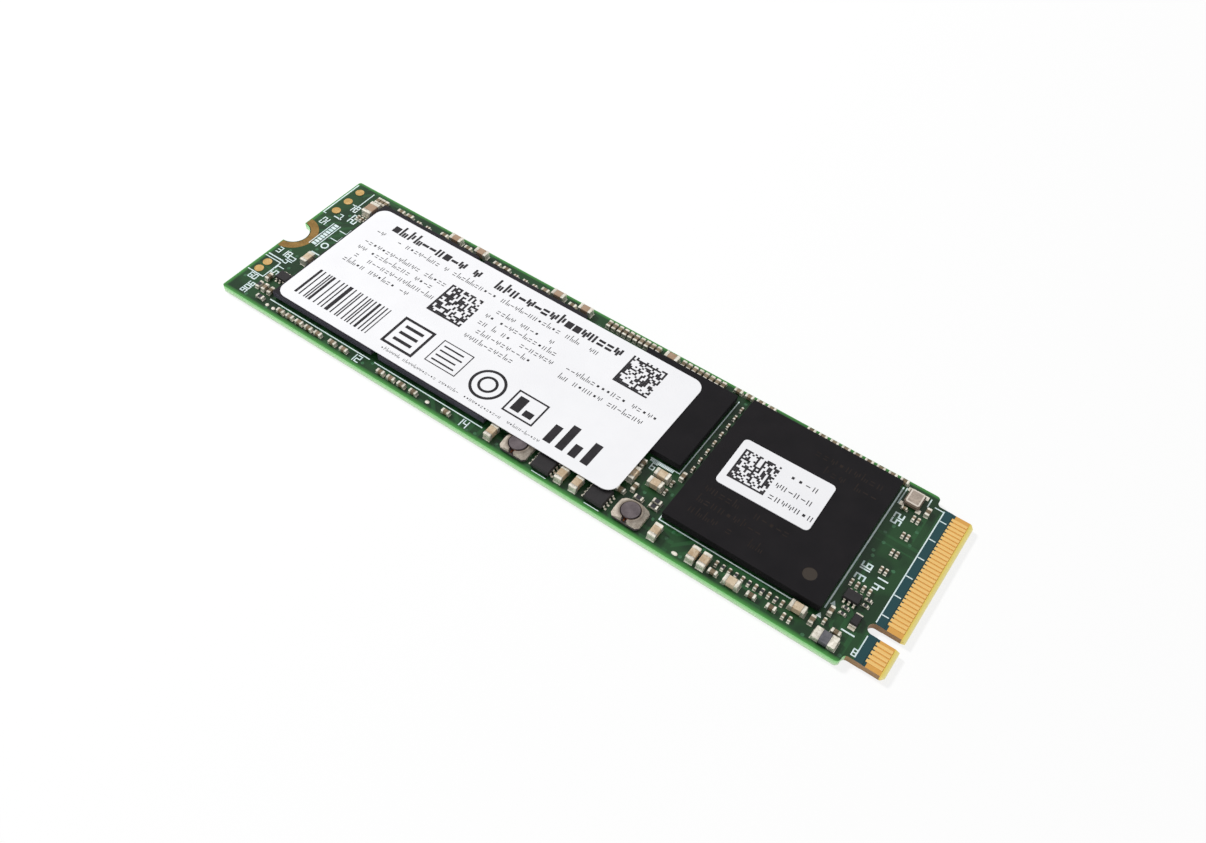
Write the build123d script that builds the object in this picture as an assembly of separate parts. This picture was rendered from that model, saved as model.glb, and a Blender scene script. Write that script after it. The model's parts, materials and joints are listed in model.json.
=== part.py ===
from build123d import *
import os
from collections import namedtuple
from math import hypot

# A solid-state drive on a slim card: memory and controller chips on one face,
# a screw half-hole at one end and a keyed edge connector at the other.
# X runs along the card towards the contacts, Y across it, Z up from its underside.

# Zones along the card, from the screw end (80 mm in all)
mount_zone = 5.8
flash_length = 14.0
flash_gap = 0.95
power_zone = 7.85
dram_length = 11.0
dram_gap = 1.6
controller_length = 17.0
connector_zone = 3.8
tongue_length = 4.0

# Strips across the card: each package with the room kept beside it (22 mm in all)
flash_width = 18.0
flash_margin = 2.0
dram_width = 11.2
dram_far_margin = 1.75
dram_near_strip = 9.05
controller_width = 17.4
controller_far_margin = 1.25
controller_near_strip = 3.35
shoulder_width = 1.075

# Circuit board
board_thickness = 0.8
corner_radius = 0.3
shoulder_radius = 0.45
fillet_share = 0.45
tongue_corner = 0.3
bevel_length = 0.45
bevel_height = 0.2
copper_thickness = 0.04

# Edge contacts: a pitch of half a millimetre, with four places lost to the key
contact_pitch = 0.5
contact_width = 0.35
contact_length = 1.65
contact_inset = 0.05
contact_clear = 0.1
top_places = 38
bottom_places = 37
places_before_key = 29
key_places = 4
tongue_margin = 0.675
key_width = 1.2
key_depth = 3.5

# Screw half-hole and its bare copper ring
screw_radius = 1.75
screw_pad_radius = 2.75
pad_setback = 0.1

# Bare round pads for two pin headers at the screw end
header_pad_radius = 0.52
header_inset = 1.25
long_header = (9.55, 7.55, 5.55)
short_header = (-5.45, -6.72)

# Ball-grid packages
ball_height = 0.2
ball_radius = 0.2
ball_sides = 4
flash_height = 1.0
flash_ball_pitch = 1.0
flash_ball_inset = 3.5
dram_height = 1.0
dram_ball_pitch = 1.0
dram_ball_inset = 0.7
controller_height = 1.1
controller_ball_pitch = 1.0
controller_ball_inset = 0.9
dimple_radius = 0.7
dimple_depth = 0.04
dimple_inset = 2.45

# Paper labels
label_thickness = 0.08
label_left_inset = 0.25
label_near_inset = 0.15
label_far_inset = 0.6
label_over_dram = 7.6
label_radius = 1.3
chip_label_length = 10.2
chip_label_width = 6.3
chip_label_radius = 0.5
chip_label_inset_x = 7.05
chip_label_inset_y = 9.4
chip_label_tilt = 1.2

# Wire-wound inductors: a drum core on a square foot, with a notched shield that slopes up to a round rim
inductor_length = 3.2
inductor_width = 2.5
inductor_height = 0.95
foot_height = 0.3
foot_chamfer = 0.3
shield_drop = 0.12
rim_width = 0.15
well_clear = 0.1
notch_width = 0.6
flange_radius = 0.95
flange_thickness = 0.22
post_radius = 0.5
winding_radius = 0.86
winding_turns = 2
wire_thickness = 0.14
clip_thickness = 0.1
clip_width = 1.7
clip_rise = 0.25
clip_foot = 0.6

# Leaded chips: length runs across the two rows of leads
Leaded = namedtuple("Leaded", "length width height leads pitch lead_width reach")
regulator = Leaded(length=2.2, width=2.2, height=0.75, leads=4, pitch=0.5, lead_width=0.22, reach=0.35)
six_lead = Leaded(length=1.2, width=1.6, height=0.6, leads=3, pitch=0.5, lead_width=0.22, reach=0.3)
diode = Leaded(length=1.2, width=0.8, height=0.6, leads=1, pitch=0.5, lead_width=0.7, reach=0.38)
lead_thickness = 0.12
lead_knee_share = 0.33
lead_foot_share = 0.5
mould_lift = 0.05
mould_inset = 0.07

# Crystal
crystal_length = 1.7
crystal_width = 2.0
crystal_base_height = 0.38
crystal_corner = 0.2
lid_inset = 0.12
lid_thickness = 0.12
lid_corner = 0.15
solder_thickness = 0.05
solder_pad = 0.5

# Two-terminal chips: the toe is the solder that runs out past each end
Chip = namedtuple("Chip", "length width height terminal toe")
chips = {
    "large_capacitor": Chip(length=1.9, width=1.25, height=0.85, terminal=0.4, toe=0.12),
    "medium_capacitors": Chip(length=1.6, width=0.88, height=0.8, terminal=0.35, toe=0.12),
    "small_capacitors": Chip(length=0.95, width=0.5, height=0.45, terminal=0.25, toe=0.08),
    "tiny_capacitors": Chip(length=0.6, width=0.32, height=0.3, terminal=0.17, toe=0.1),
    "small_resistors": Chip(length=0.95, width=0.5, height=0.35, terminal=0.22, toe=0.08),
    "tiny_resistors": Chip(length=0.6, width=0.32, height=0.24, terminal=0.15, toe=0.1),
    "fuse": Chip(length=2.3, width=1.3, height=0.6, terminal=0.7, toe=0.12),
}
chip_lift = 0.03
terminal_wrap = 0.015

# Rows of chips beside the flash packages, counted from a package's left or right edge
flash_near_clear = 0.9
flash_far_clear = 0.55
FlashRows = namedtuple("FlashRows", "near far far_tiny far_end far_medium")
flash_1_rows = FlashRows(near=(2.2, 3.55, 4.9, 6.25, 7.6, 9.65, 11.25), far=(1.75, 3.05),
                         far_tiny=(4.5, 5.85), far_end=(5.8, 2.3), far_medium=(4.15, 0.5))
flash_2_rows = FlashRows(near=(1.4, 2.8, 4.2, 5.8, 10.1), far=(0.95, 2.3),
                         far_tiny=(3.7, 5.0, 6.3), far_end=(6.3, 2.6), far_medium=(4.6, 0.95))

# Rows along the far edge, past the DRAM and the controller
far_row_gap = 0.2
dram_far_clear = 0.2
power_far_count = 10
power_far_end = 0.7
dram_far_capacitor = 2.5
dram_far_start = 3.65
controller_far_clear = 0.4
controller_far_lead_in = 2.1
controller_far_count = 4
controller_far_start = 5.95

# Strip along the near edge from the flash to just past the controller's corner:
# each piece with its share of the spare room, which is the gap before it
strip_margin = 0.6
strip_overrun = 0.92
strip_order = (
    ("capacitor", 0.95),
    ("inductor", 1.1),
    ("regulator", 0.4),
    ("capacitor", 0.2),
    ("capacitor", 0.9),
    ("regulator", 0.55),
    ("inductor", 0.55),
    ("capacitor", 1.0),
)

# Chips between the DRAM and that strip
dram_column_start = 0.6
dram_column_gap = 0.55
dram_column_count = 8
dram_column_inset = 0.6
dram_corner_inset = 0.75
dram_corner_drop = 0.45
dram_pair_inset = 0.9
dram_pair_clear = 1.25
dram_pair_gap = 0.37
dram_pair_side = 0.12
label_edge_clear = 0.9
label_edge_gap = 0.3
label_edge_last_gap = 1.0
label_edge_inset = 3.3
coil_chip_clear = 0.55
coil_chip_gap = 0.2
coil_row_shift = 0.4
coil_row_inset = 0.34
coil_left_inset = 0.2
coil_left_clear = 1.05

# Chips along the near edge under the controller, counted from its left edge or back from its right one
controller_capacitors = (4.7, 5.9)
controller_row_clear = 0.78
controller_row_start = 6.9
controller_row_pitch = 0.7
controller_row_end = 3.05
controller_near_margin = 1.1
controller_first_chip = 7.1
controller_lying_capacitor = 9.1
controller_lying_start = 11.2
controller_lying_pitch = 2.1
controller_lying_end = 3.65
controller_end_capacitor = 1.7
controller_end_clear = 0.5
controller_end_pair = (2.4, 1.75)

# Chips in the connector zone, counted from the controller's right edge
lane_count = 4
lane_pitch = 2.36
lane_far_clear = 4.0
lane_inset = 2.85
lane_gap = 0.18
crystal_inset = 1.75
crystal_far_clear = 1.95
six_lead_inset = 1.8
six_lead_near = 3.15
fan_out_count = 4
fan_out_gap = 0.31
fan_out_start = 0.95
fan_out_clear = 0.25
pull_up_clear = 0.2
pull_up_gap = 0.38
fuse_inset = 1.75
fuse_near_clear = 1.25
diode_inset = 3.15
diode_near = 1.15
edge_chip_inset = 0.85
corner_chip_inset = -0.1
corner_chip_clear = 0.55
corner_pair_clear = 0.05
crystal_chip_gap = 0.1
crystal_side_gap = 0.35
crystal_side_clear = 2.6

# Chips at the screw end, counted back from the first flash package
mount_array_count = 3
mount_array_gap = 0.06
mount_column_inset = 1.1
mount_column_far = 1.4
mount_column_gap = 0.2
mount_capacitor_y = -2.6
mount_ic_y = -6.3
mount_cluster_inset = 2.5
mount_cluster_gap = 0.35
mount_cluster_y = -8.6
mount_lying_y = -9.9

# Places worked out from the sizes above
contact_span = (top_places - 1) * contact_pitch
tongue_width = contact_span + 2 * tongue_margin
board_length = (mount_zone + 2 * flash_length + flash_gap + power_zone + dram_length + dram_gap
                + controller_length + connector_zone + tongue_length)
board_width = max(flash_width + 2 * flash_margin,
                  dram_far_margin + dram_width + dram_near_strip,
                  controller_far_margin + controller_width + controller_near_strip,
                  tongue_width + 2 * shoulder_width)
mount_edge = -board_length / 2
contact_edge = board_length / 2
near_edge = -board_width / 2
far_edge = board_width / 2
shoulder = contact_edge - tongue_length
strip_line = near_edge + strip_margin

Package = namedtuple("Package", "left right near far height pitch inset")
flash_1 = Package(mount_edge + mount_zone, mount_edge + mount_zone + flash_length,
                  -flash_width / 2, flash_width / 2, flash_height, flash_ball_pitch, flash_ball_inset)
flash_2 = flash_1._replace(left=flash_1.right + flash_gap, right=flash_1.right + flash_gap + flash_length)
dram = Package(flash_2.right + power_zone, flash_2.right + power_zone + dram_length,
               far_edge - dram_far_margin - dram_width, far_edge - dram_far_margin,
               dram_height, dram_ball_pitch, dram_ball_inset)
controller = Package(dram.right + dram_gap, dram.right + dram_gap + controller_length,
                     far_edge - controller_far_margin - controller_width, far_edge - controller_far_margin,
                     controller_height, controller_ball_pitch, controller_ball_inset)

six_lead_y = controller.near + six_lead_near
diode_y = controller.near + diode_near

on_floor = (Align.CENTER, Align.CENTER, Align.MIN)


def rectangle(x0, x1, y0, y1):
    return Pos((x0 + x1) / 2, (y0 + y1) / 2) * Rectangle(x1 - x0, y1 - y0)


def slab(sketch, z0, z1):
    return extrude(Pos(0, 0, z0) * sketch, z1 - z0)


def group(shapes):
    return Compound([solid for shape in shapes for solid in shape.solids()])


def standing(shape, x, y, turn=0):
    return Pos(x, y, board_thickness) * Rot(0, 0, turn) * shape


# Circuit board

def contact_rows():
    # Top and bottom places are staggered by half a pitch about the same middle.
    top = [contact_span / 2 - contact_pitch * i for i in range(top_places)]
    bottom = [top[0] - contact_pitch / 2 - contact_pitch * i for i in range(bottom_places)]
    lost = range(places_before_key, places_before_key + key_places)
    key_middle = sum(top[i] + bottom[i] for i in lost) / (2 * key_places)
    kept_top = [y for i, y in enumerate(top) if i not in lost]
    kept_bottom = [y for i, y in enumerate(bottom) if i not in lost]
    return kept_top, kept_bottom, key_middle


def key_notch(middle):
    round_end = contact_edge - key_depth + key_width / 2
    slot = rectangle(round_end, contact_edge + key_width, middle - key_width / 2, middle + key_width / 2)
    return slot + Pos(round_end, middle) * Circle(key_width / 2)


def board_outline(key_middle):
    plate = rectangle(mount_edge, shoulder, near_edge, far_edge)
    tongue = rectangle(shoulder, contact_edge, -tongue_width / 2, tongue_width / 2)
    outline = plate + tongue
    step = (board_width - tongue_width) / 2
    at_shoulder = outline.vertices().filter_by_position(Axis.X, shoulder, shoulder)
    outline = fillet(at_shoulder, min(shoulder_radius, fillet_share * step))
    at_contacts = outline.vertices().filter_by_position(Axis.X, contact_edge, contact_edge)
    outline = chamfer(at_contacts, tongue_corner)
    at_mount = outline.vertices().filter_by_position(Axis.X, mount_edge, mount_edge)
    outline = fillet(at_mount, corner_radius)
    outline -= Pos(mount_edge, 0) * Circle(screw_radius)
    return outline - key_notch(key_middle)


def bevel_wedge(face_z, inward):
    # The wedge that comes off one face of the tongue's end, drawn from the side.
    wedge = Polygon((contact_edge, face_z),
                    (contact_edge - bevel_length, face_z),
                    (contact_edge, face_z + inward * bevel_height), align=None)
    return extrude(Plane.XZ * wedge, board_width, both=True)


def screw_pad():
    ring = Circle(screw_pad_radius) - Circle(screw_radius + pad_setback)
    kept = rectangle(pad_setback, screw_pad_radius, -screw_pad_radius, screw_pad_radius)
    return Pos(mount_edge, 0) * (ring & kept)


def screw_pads():
    top = slab(screw_pad(), board_thickness - copper_thickness, board_thickness)
    bottom = slab(screw_pad(), 0, copper_thickness)
    return [top, bottom]


def header_pads():
    spots = [(mount_edge + header_inset, y) for y in long_header + short_header]
    pad = slab(Circle(header_pad_radius), board_thickness, board_thickness + copper_thickness)
    return [Pos(x, y) * pad for x, y in spots]


def circuit_board(key_middle, rings):
    board = slab(board_outline(key_middle), 0, board_thickness)
    bare_length = bevel_length + contact_inset + contact_length + contact_clear
    bare = rectangle(contact_edge - bare_length, contact_edge, near_edge, far_edge)
    board -= slab(bare, board_thickness - copper_thickness, board_thickness)
    board -= slab(bare, 0, copper_thickness)
    board -= bevel_wedge(board_thickness - copper_thickness, -1)
    board -= bevel_wedge(copper_thickness, 1)
    for ring in rings:
        board -= ring
    return board


def contacts(places, z0):
    end = contact_edge - bevel_length - contact_inset
    half = contact_width / 2
    return [slab(rectangle(end - contact_length, end, y - half, y + half), z0, z0 + copper_thickness)
            for y in places]


# Ball-grid packages

def package_body(package):
    outline = rectangle(package.left, package.right, package.near, package.far)
    return slab(outline, board_thickness + ball_height, board_thickness + package.height)


def controller_body():
    top = board_thickness + controller.height
    dimple = Pos(controller.right - dimple_inset, controller.near + dimple_inset) * Circle(dimple_radius)
    return package_body(controller) - slab(dimple, top - dimple_depth, top)


def ball_places(low, high, package):
    count = int((high - low - 2 * package.inset) / package.pitch) + 1
    first = (low + high - (count - 1) * package.pitch) / 2
    return [first + package.pitch * i for i in range(count)]


def solder_balls(package):
    # The outer row of the grid all round, which is what shows in the gap.
    columns = ball_places(package.left, package.right, package)
    rows = ball_places(package.near, package.far, package)
    ball = slab(RegularPolygon(ball_radius, ball_sides), board_thickness, board_thickness + ball_height)
    return [Pos(x, y) * ball for x in columns for y in rows
            if x in (columns[0], columns[-1]) or y in (rows[0], rows[-1])]


# Labels

def main_label():
    length = dram.left + label_over_dram - flash_1.left - label_left_inset
    width = flash_width - label_near_inset - label_far_inset
    middle = (flash_1.left + label_left_inset + length / 2, flash_1.near + label_near_inset + width / 2)
    seat = board_thickness + max(flash_height, dram_height)
    return slab(Pos(*middle) * RectangleRounded(length, width, label_radius), seat, seat + label_thickness)


def controller_label():
    seat = board_thickness + controller_height
    sheet = RectangleRounded(chip_label_length, chip_label_width, chip_label_radius)
    spot = Pos(controller.left + chip_label_inset_x, controller.near + chip_label_inset_y)
    return slab(spot * Rot(0, 0, chip_label_tilt) * sheet, seat, seat + label_thickness)


# Inductors

def foot_outline():
    return chamfer(Rectangle(inductor_length, inductor_width).vertices(), foot_chamfer)


def clip_outer():
    # The room that an end clip fills, centred on the end face.
    upright = Box(2 * clip_thickness, clip_width, clip_rise, align=on_floor)
    return upright + Box(2 * clip_foot, clip_width, clip_thickness, align=on_floor)


def inductor_clips():
    body = Box(inductor_length, inductor_width, inductor_height, align=on_floor)
    return [body & (Pos(side * inductor_length / 2, 0) * clip_outer()) for side in (-1, 1)]


def inductor_core():
    foot = slab(foot_outline(), 0, foot_height)
    for side in (-1, 1):
        foot -= Pos(side * inductor_length / 2, 0) * clip_outer()
    under_flange = inductor_height - flange_thickness
    profile = Polygon((0, foot_height), (post_radius, foot_height), (post_radius, under_flange),
                      (flange_radius, under_flange), (flange_radius, inductor_height), (0, inductor_height),
                      align=None)
    return foot + revolve(Plane.XZ * profile, Axis.Z)


def inductor_shield():
    # A ring on the foot, sloped like a cone down to the foot's corners and open where the wire comes out.
    outline = foot_outline()
    top = inductor_height - shield_drop
    well = flange_radius + well_clear
    reach = max(hypot(vertex.X, vertex.Y) for vertex in outline.vertices())
    slope = Polygon((well, foot_height), (reach, foot_height), (well + rim_width, top), (well, top), align=None)
    ring = slab(outline, foot_height, top) & revolve(Plane.XZ * slope, Axis.Z)
    return ring - slab(wire_notch(notch_width), foot_height, top)


def wire_notch(width):
    return rectangle(-width / 2, width / 2, -inductor_width / 2, 0)


def inductor_winding():
    low = foot_height
    high = inductor_height - flange_thickness
    pitch = (high - low) / winding_turns
    groove = winding_radius - pitch / 2
    ridges = []
    for turn in range(winding_turns):
        ridges += [(groove, low + turn * pitch), (winding_radius, low + (turn + 0.5) * pitch)]
    profile = Polygon((post_radius, low), *ridges, (groove, high), (post_radius, high), align=None)
    coil = revolve(Plane.XZ * profile, Axis.Z)
    middle = (low + high) / 2
    tail = slab(wire_notch(wire_thickness), middle - wire_thickness / 2, middle + wire_thickness / 2)
    return coil + (tail - Cylinder(groove, inductor_height, align=on_floor))


def inductor(x):
    y = strip_line + inductor_width / 2
    pieces = {"shield": [inductor_shield()], "core": [inductor_core()],
              "winding": [inductor_winding()], "terminals": inductor_clips()}
    return {name: [standing(solid, x, y) for solid in solids] for name, solids in pieces.items()}


# Leaded chips

def moulded_body(kind):
    # Draft runs both ways from a straight band where the leads come out.
    band_low = (kind.height - lead_thickness) / 2
    band_high = band_low + lead_thickness
    full = Rectangle(kind.length, kind.width)
    drawn = Rectangle(kind.length - 2 * mould_inset, kind.width - 2 * mould_inset)
    lower = loft([Pos(0, 0, mould_lift) * drawn, Pos(0, 0, band_low) * full])
    upper = loft([Pos(0, 0, band_high) * full, Pos(0, 0, kind.height) * drawn])
    return lower + slab(full, band_low, band_high) + upper


def gull_wing(kind):
    root = kind.length / 2
    knee = root + lead_knee_share * kind.reach
    toe = root + kind.reach
    heel = toe - lead_foot_share * kind.reach
    top = (kind.height + lead_thickness) / 2
    under = top - lead_thickness
    profile = Polygon((root, under), (root, top), (knee, top), (heel, lead_thickness), (toe, lead_thickness),
                      (toe, 0), (heel - lead_thickness / 2, 0), (knee - lead_thickness / 2, under), align=None)
    return extrude(Plane.XZ * profile, kind.lead_width / 2, both=True)


def lead_rows(kind):
    lead = gull_wing(kind)
    first = -(kind.leads - 1) * kind.pitch / 2
    row = [Pos(0, first + kind.pitch * i) * lead for i in range(kind.leads)]
    return row + [Rot(0, 0, 180) * solid for solid in row]


def leaded_chip(name, kind, x, y, turn=0):
    return {f"{name}_body": [standing(moulded_body(kind), x, y, turn)],
            f"{name}_leads": [standing(lead, x, y, turn) for lead in lead_rows(kind)]}


# Crystal

def crystal():
    x = controller.right + crystal_inset
    y = far_edge - crystal_far_clear
    low = solder_thickness
    half_x = crystal_length / 2
    half_y = crystal_width / 2
    corners = [(i * half_x, j * half_y) for i in (-1, 1) for j in (-1, 1)]
    outline = Rectangle(crystal_length, crystal_width)
    for corner in corners:
        outline -= Pos(*corner) * Circle(crystal_corner)
    lid = chamfer(Rectangle(crystal_length - 2 * lid_inset, crystal_width - 2 * lid_inset).vertices(), lid_corner)
    lid_low = low + crystal_base_height
    pads = [slab(Pos(*corner) * Rectangle(solder_pad, solder_pad), 0, low) for corner in corners]
    pieces = {"crystal_base": [slab(outline, low, lid_low)],
              "crystal_lid": [slab(lid, lid_low, lid_low + lid_thickness)],
              "crystal_pads": pads}
    return {name: [standing(solid, x, y) for solid in solids] for name, solids in pieces.items()}


# Two-terminal chips

def chip_body(chip):
    size = (chip.length - 2 * chip.terminal, chip.width - 2 * terminal_wrap,
            chip.height - chip_lift - terminal_wrap)
    return Pos(0, 0, chip_lift) * Box(*size, align=on_floor)


def chip_terminals(chip):
    # A tinned end cap with its solder running down to the pad in a slope.
    end = chip.length / 2
    inner = end - chip.terminal
    profile = Polygon((inner, 0), (end + chip.toe, 0), (end, chip.height), (inner, chip.height), align=None)
    cap = extrude(Plane.XZ * profile, chip.width / 2, both=True)
    return [cap, Rot(0, 0, 180) * cap]


spots = {name: [] for name in chips}


def span(name):
    return chips[name].length + 2 * chips[name].toe


def put(name, x, y, turn=0):
    spots[name].append((x, y, turn))


def put_row(name, xs, y, turn=0):
    for x in xs:
        put(name, x, y, turn)


def fill(start, end, step):
    return [start + step * i for i in range(int((end - start) / step) + 1)]


def flash_chips(package, rows):
    small = chips["small_capacitors"]
    tiny = chips["tiny_capacitors"]
    medium = chips["medium_capacitors"]
    near = package.near - flash_near_clear - small.width / 2
    far = package.far + flash_far_clear
    put_row("small_capacitors", [package.left + x for x in rows.near], near)
    put_row("small_capacitors", [package.left + x for x in rows.far], far + small.width / 2)
    put_row("tiny_capacitors", [package.left + x for x in rows.far_tiny], far + tiny.width / 2)
    put_row("small_capacitors", [package.right - x for x in rows.far_end], far + small.width / 2)
    put_row("medium_capacitors", [package.right - x for x in rows.far_medium], far + medium.width / 2)


def far_edge_chips():
    small = chips["small_capacitors"]
    step = small.width + far_row_gap
    y = dram.far + dram_far_clear + span("small_capacitors") / 2
    put_row("small_capacitors", [dram.left + power_far_end - step * i for i in range(power_far_count)], y, 90)
    put("medium_capacitors", dram.left + dram_far_capacitor,
        dram.far + dram_far_clear + chips["medium_capacitors"].width / 2)
    lead_in = controller.left - controller_far_lead_in
    last = lead_in - span("small_capacitors") / 2 - far_row_gap - small.width / 2
    put_row("small_capacitors", fill(dram.left + dram_far_start + small.width / 2, last, step), y, 90)
    pitch = span("small_capacitors") + far_row_gap
    y = controller.far + controller_far_clear + small.width / 2
    put_row("small_capacitors", [lead_in + pitch * i for i in range(controller_far_count)], y)
    put_row("small_capacitors", fill(controller.left + controller_far_start + span("small_capacitors") / 2,
                                     controller.right, pitch), y)


def strip_centres():
    widths = {"capacitor": chips["medium_capacitors"].width, "inductor": inductor_length,
              "regulator": regulator.length + 2 * regulator.reach}
    centres = {kind: [] for kind in widths}
    room = controller.left + strip_overrun - flash_2.right
    spare = room - sum(widths[kind] for kind, share in strip_order)
    shares = sum(share for kind, share in strip_order)
    x = flash_2.right
    for kind, share in strip_order:
        x += spare * share / shares + widths[kind] / 2
        centres[kind].append(x)
        x += widths[kind] / 2
    return centres


def dram_chips(coil_x):
    small = chips["small_capacitors"]
    medium = chips["medium_capacitors"]
    tiny = chips["tiny_capacitors"]
    column = fill(dram.near + dram_column_start + span("tiny_capacitors") / 2, dram.far,
                  span("tiny_capacitors") + dram_column_gap)
    for y in column[:dram_column_count]:
        put("tiny_capacitors", controller.left - dram_column_inset, y, 90)
    put("small_capacitors", dram.right + dram_corner_inset, dram.near - dram_corner_drop, 90)
    pair_x = dram.right - dram_pair_inset
    beside = pair_x + span("medium_capacitors") / 2 + dram_pair_side + tiny.width / 2
    y = dram.near - dram_pair_clear - medium.width / 2
    for i in range(2):
        put("medium_capacitors", pair_x, y)
        put("tiny_capacitors", beside, y, 90)
        y -= medium.width + dram_pair_gap
    x = dram.right - label_edge_inset
    y = dram.near - label_edge_clear - span("small_capacitors") / 2
    put("small_capacitors", x, y, 90)
    y -= span("small_capacitors") / 2 + label_edge_gap + span("medium_capacitors") / 2
    put("medium_capacitors", x, y, 90)
    y -= span("medium_capacitors") / 2 + label_edge_last_gap + small.width / 2
    put("small_capacitors", x, y)
    coil_chips(coil_x)


def coil_chips(coil_x):
    # Small parts just past the second inductor, on the DRAM's side of it.
    name = "small_resistors"
    wide = chips[name].width
    coil_far = strip_line + inductor_width
    y = coil_far + coil_chip_clear + wide / 2
    put(name, coil_x - coil_row_shift, y)
    put(name, dram.right + coil_row_inset, y)
    y += wide + coil_chip_gap
    put(name, dram.right + coil_row_inset, y)
    put("small_capacitors", coil_x - inductor_length / 2 + coil_left_inset,
        coil_far + coil_left_clear + span(name) / 2, 90)


def controller_near_chips():
    medium = chips["medium_capacitors"]
    left = controller.left
    right = controller.right
    strip_y = strip_line + span("medium_capacitors") / 2
    put_row("medium_capacitors", [left + x for x in controller_capacitors], strip_y, 90)
    row_y = controller.near - controller_row_clear - span("tiny_capacitors") / 2
    row = fill(left + controller_row_start, right - controller_row_end, controller_row_pitch)
    put_row("tiny_capacitors", row[::2], row_y, 90)
    put_row("tiny_resistors", row[1::2], row_y, 90)
    lying_y = near_edge + controller_near_margin
    put("small_capacitors", left + controller_first_chip, lying_y)
    put("medium_capacitors", left + controller_lying_capacitor, lying_y)
    put_row("small_capacitors", fill(left + controller_lying_start, right - controller_lying_end,
                                     controller_lying_pitch), lying_y)
    put("medium_capacitors", right - controller_end_capacitor,
        controller.near - controller_end_clear - medium.width / 2)
    put_row("tiny_capacitors", [right - x for x in controller_end_pair], lying_y, 90)


def connector_chips():
    right = controller.right
    tiny = chips["tiny_capacitors"]
    for lane in range(lane_count):
        for side in (-1, 1):
            x = right + lane_inset + side * (tiny.width + lane_gap) / 2
            put("tiny_capacitors", x, far_edge - lane_far_clear - lane_pitch * lane, 90)
    fan_y = six_lead_y + six_lead.length / 2 + six_lead.reach + fan_out_clear + span("tiny_capacitors") / 2
    step = tiny.width + fan_out_gap
    put_row("tiny_capacitors", [right + fan_out_start + step * i for i in range(fan_out_count)], fan_y, 90)
    pull_y = six_lead_y - six_lead.length / 2 - six_lead.reach - pull_up_clear - tiny.width / 2
    for i in range(2):
        y = pull_y - i * (tiny.width + pull_up_gap)
        put("tiny_resistors", right + six_lead_inset, y)
        put("tiny_resistors", right + diode_inset, y + diode.length + diode.reach + pull_up_gap)
    put("fuse", right + fuse_inset, near_edge + fuse_near_clear)
    fuse_far = near_edge + fuse_near_clear + chips["fuse"].width / 2
    small = chips["small_capacitors"]
    put("small_capacitors", right + fuse_inset + small.length / 2,
        fuse_far + controller_end_clear / 2 + small.width / 2)
    put("small_capacitors", right + edge_chip_inset, pull_y - span("small_capacitors"), 90)
    put("small_capacitors", right + corner_chip_inset,
        controller.near - corner_chip_clear - span("small_capacitors") / 2, 90)
    put("tiny_capacitors", right + edge_chip_inset,
        controller.near - corner_pair_clear - span("tiny_capacitors") / 2, 90)
    crystal_x = right + crystal_inset
    crystal_near = far_edge - crystal_far_clear - (crystal_width + solder_pad) / 2
    put("tiny_capacitors", crystal_x - span("tiny_capacitors") / 2,
        crystal_near - crystal_chip_gap - tiny.width / 2)
    put("small_capacitors", crystal_x + (crystal_length + solder_pad) / 2 + crystal_side_gap + small.width / 2,
        far_edge - crystal_side_clear, 90)


def mount_chips():
    x = flash_1.left - mount_column_inset
    small = chips["small_capacitors"]
    tiny = chips["tiny_capacitors"]
    y = far_edge - mount_column_far
    for i in range(mount_array_count):
        offset = (i - (mount_array_count - 1) / 2)
        put("small_capacitors", x + offset * (small.width + mount_array_gap), y, 90)
    y -= span("small_capacitors") / 2 + mount_column_gap + span("large_capacitor") / 2
    put("large_capacitor", x, y, 90)
    y -= span("large_capacitor") / 2 + mount_column_gap + span("tiny_capacitors") / 2
    for i in range(mount_array_count):
        offset = (i - (mount_array_count - 1) / 2)
        put("tiny_capacitors", x + offset * (tiny.width + mount_column_gap), y, 90)
    put("medium_capacitors", x, mount_capacitor_y, 90)
    step = small.width + mount_cluster_gap
    cluster = flash_1.left - mount_cluster_inset
    put("small_resistors", cluster, mount_cluster_y, 90)
    put_row("small_capacitors", [cluster + step, cluster + 2 * step], mount_cluster_y, 90)
    put("small_resistors", x, mount_lying_y)
    put("small_capacitors", cluster, mount_cluster_y + span("small_capacitors") + mount_cluster_gap, 90)


def chip_nodes():
    nodes = {}
    for name, chip in chips.items():
        single = len(spots[name]) == 1
        body = chip_body(chip)
        caps = chip_terminals(chip)
        bodies = [standing(body, *spot) for spot in spots[name]]
        terminals = [standing(cap, *spot) for spot in spots[name] for cap in caps]
        nodes[f"{name}_body" if single else f"{name}_bodies"] = bodies
        nodes[f"{name}_terminals"] = terminals
    return nodes


# All pieces in place

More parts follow.
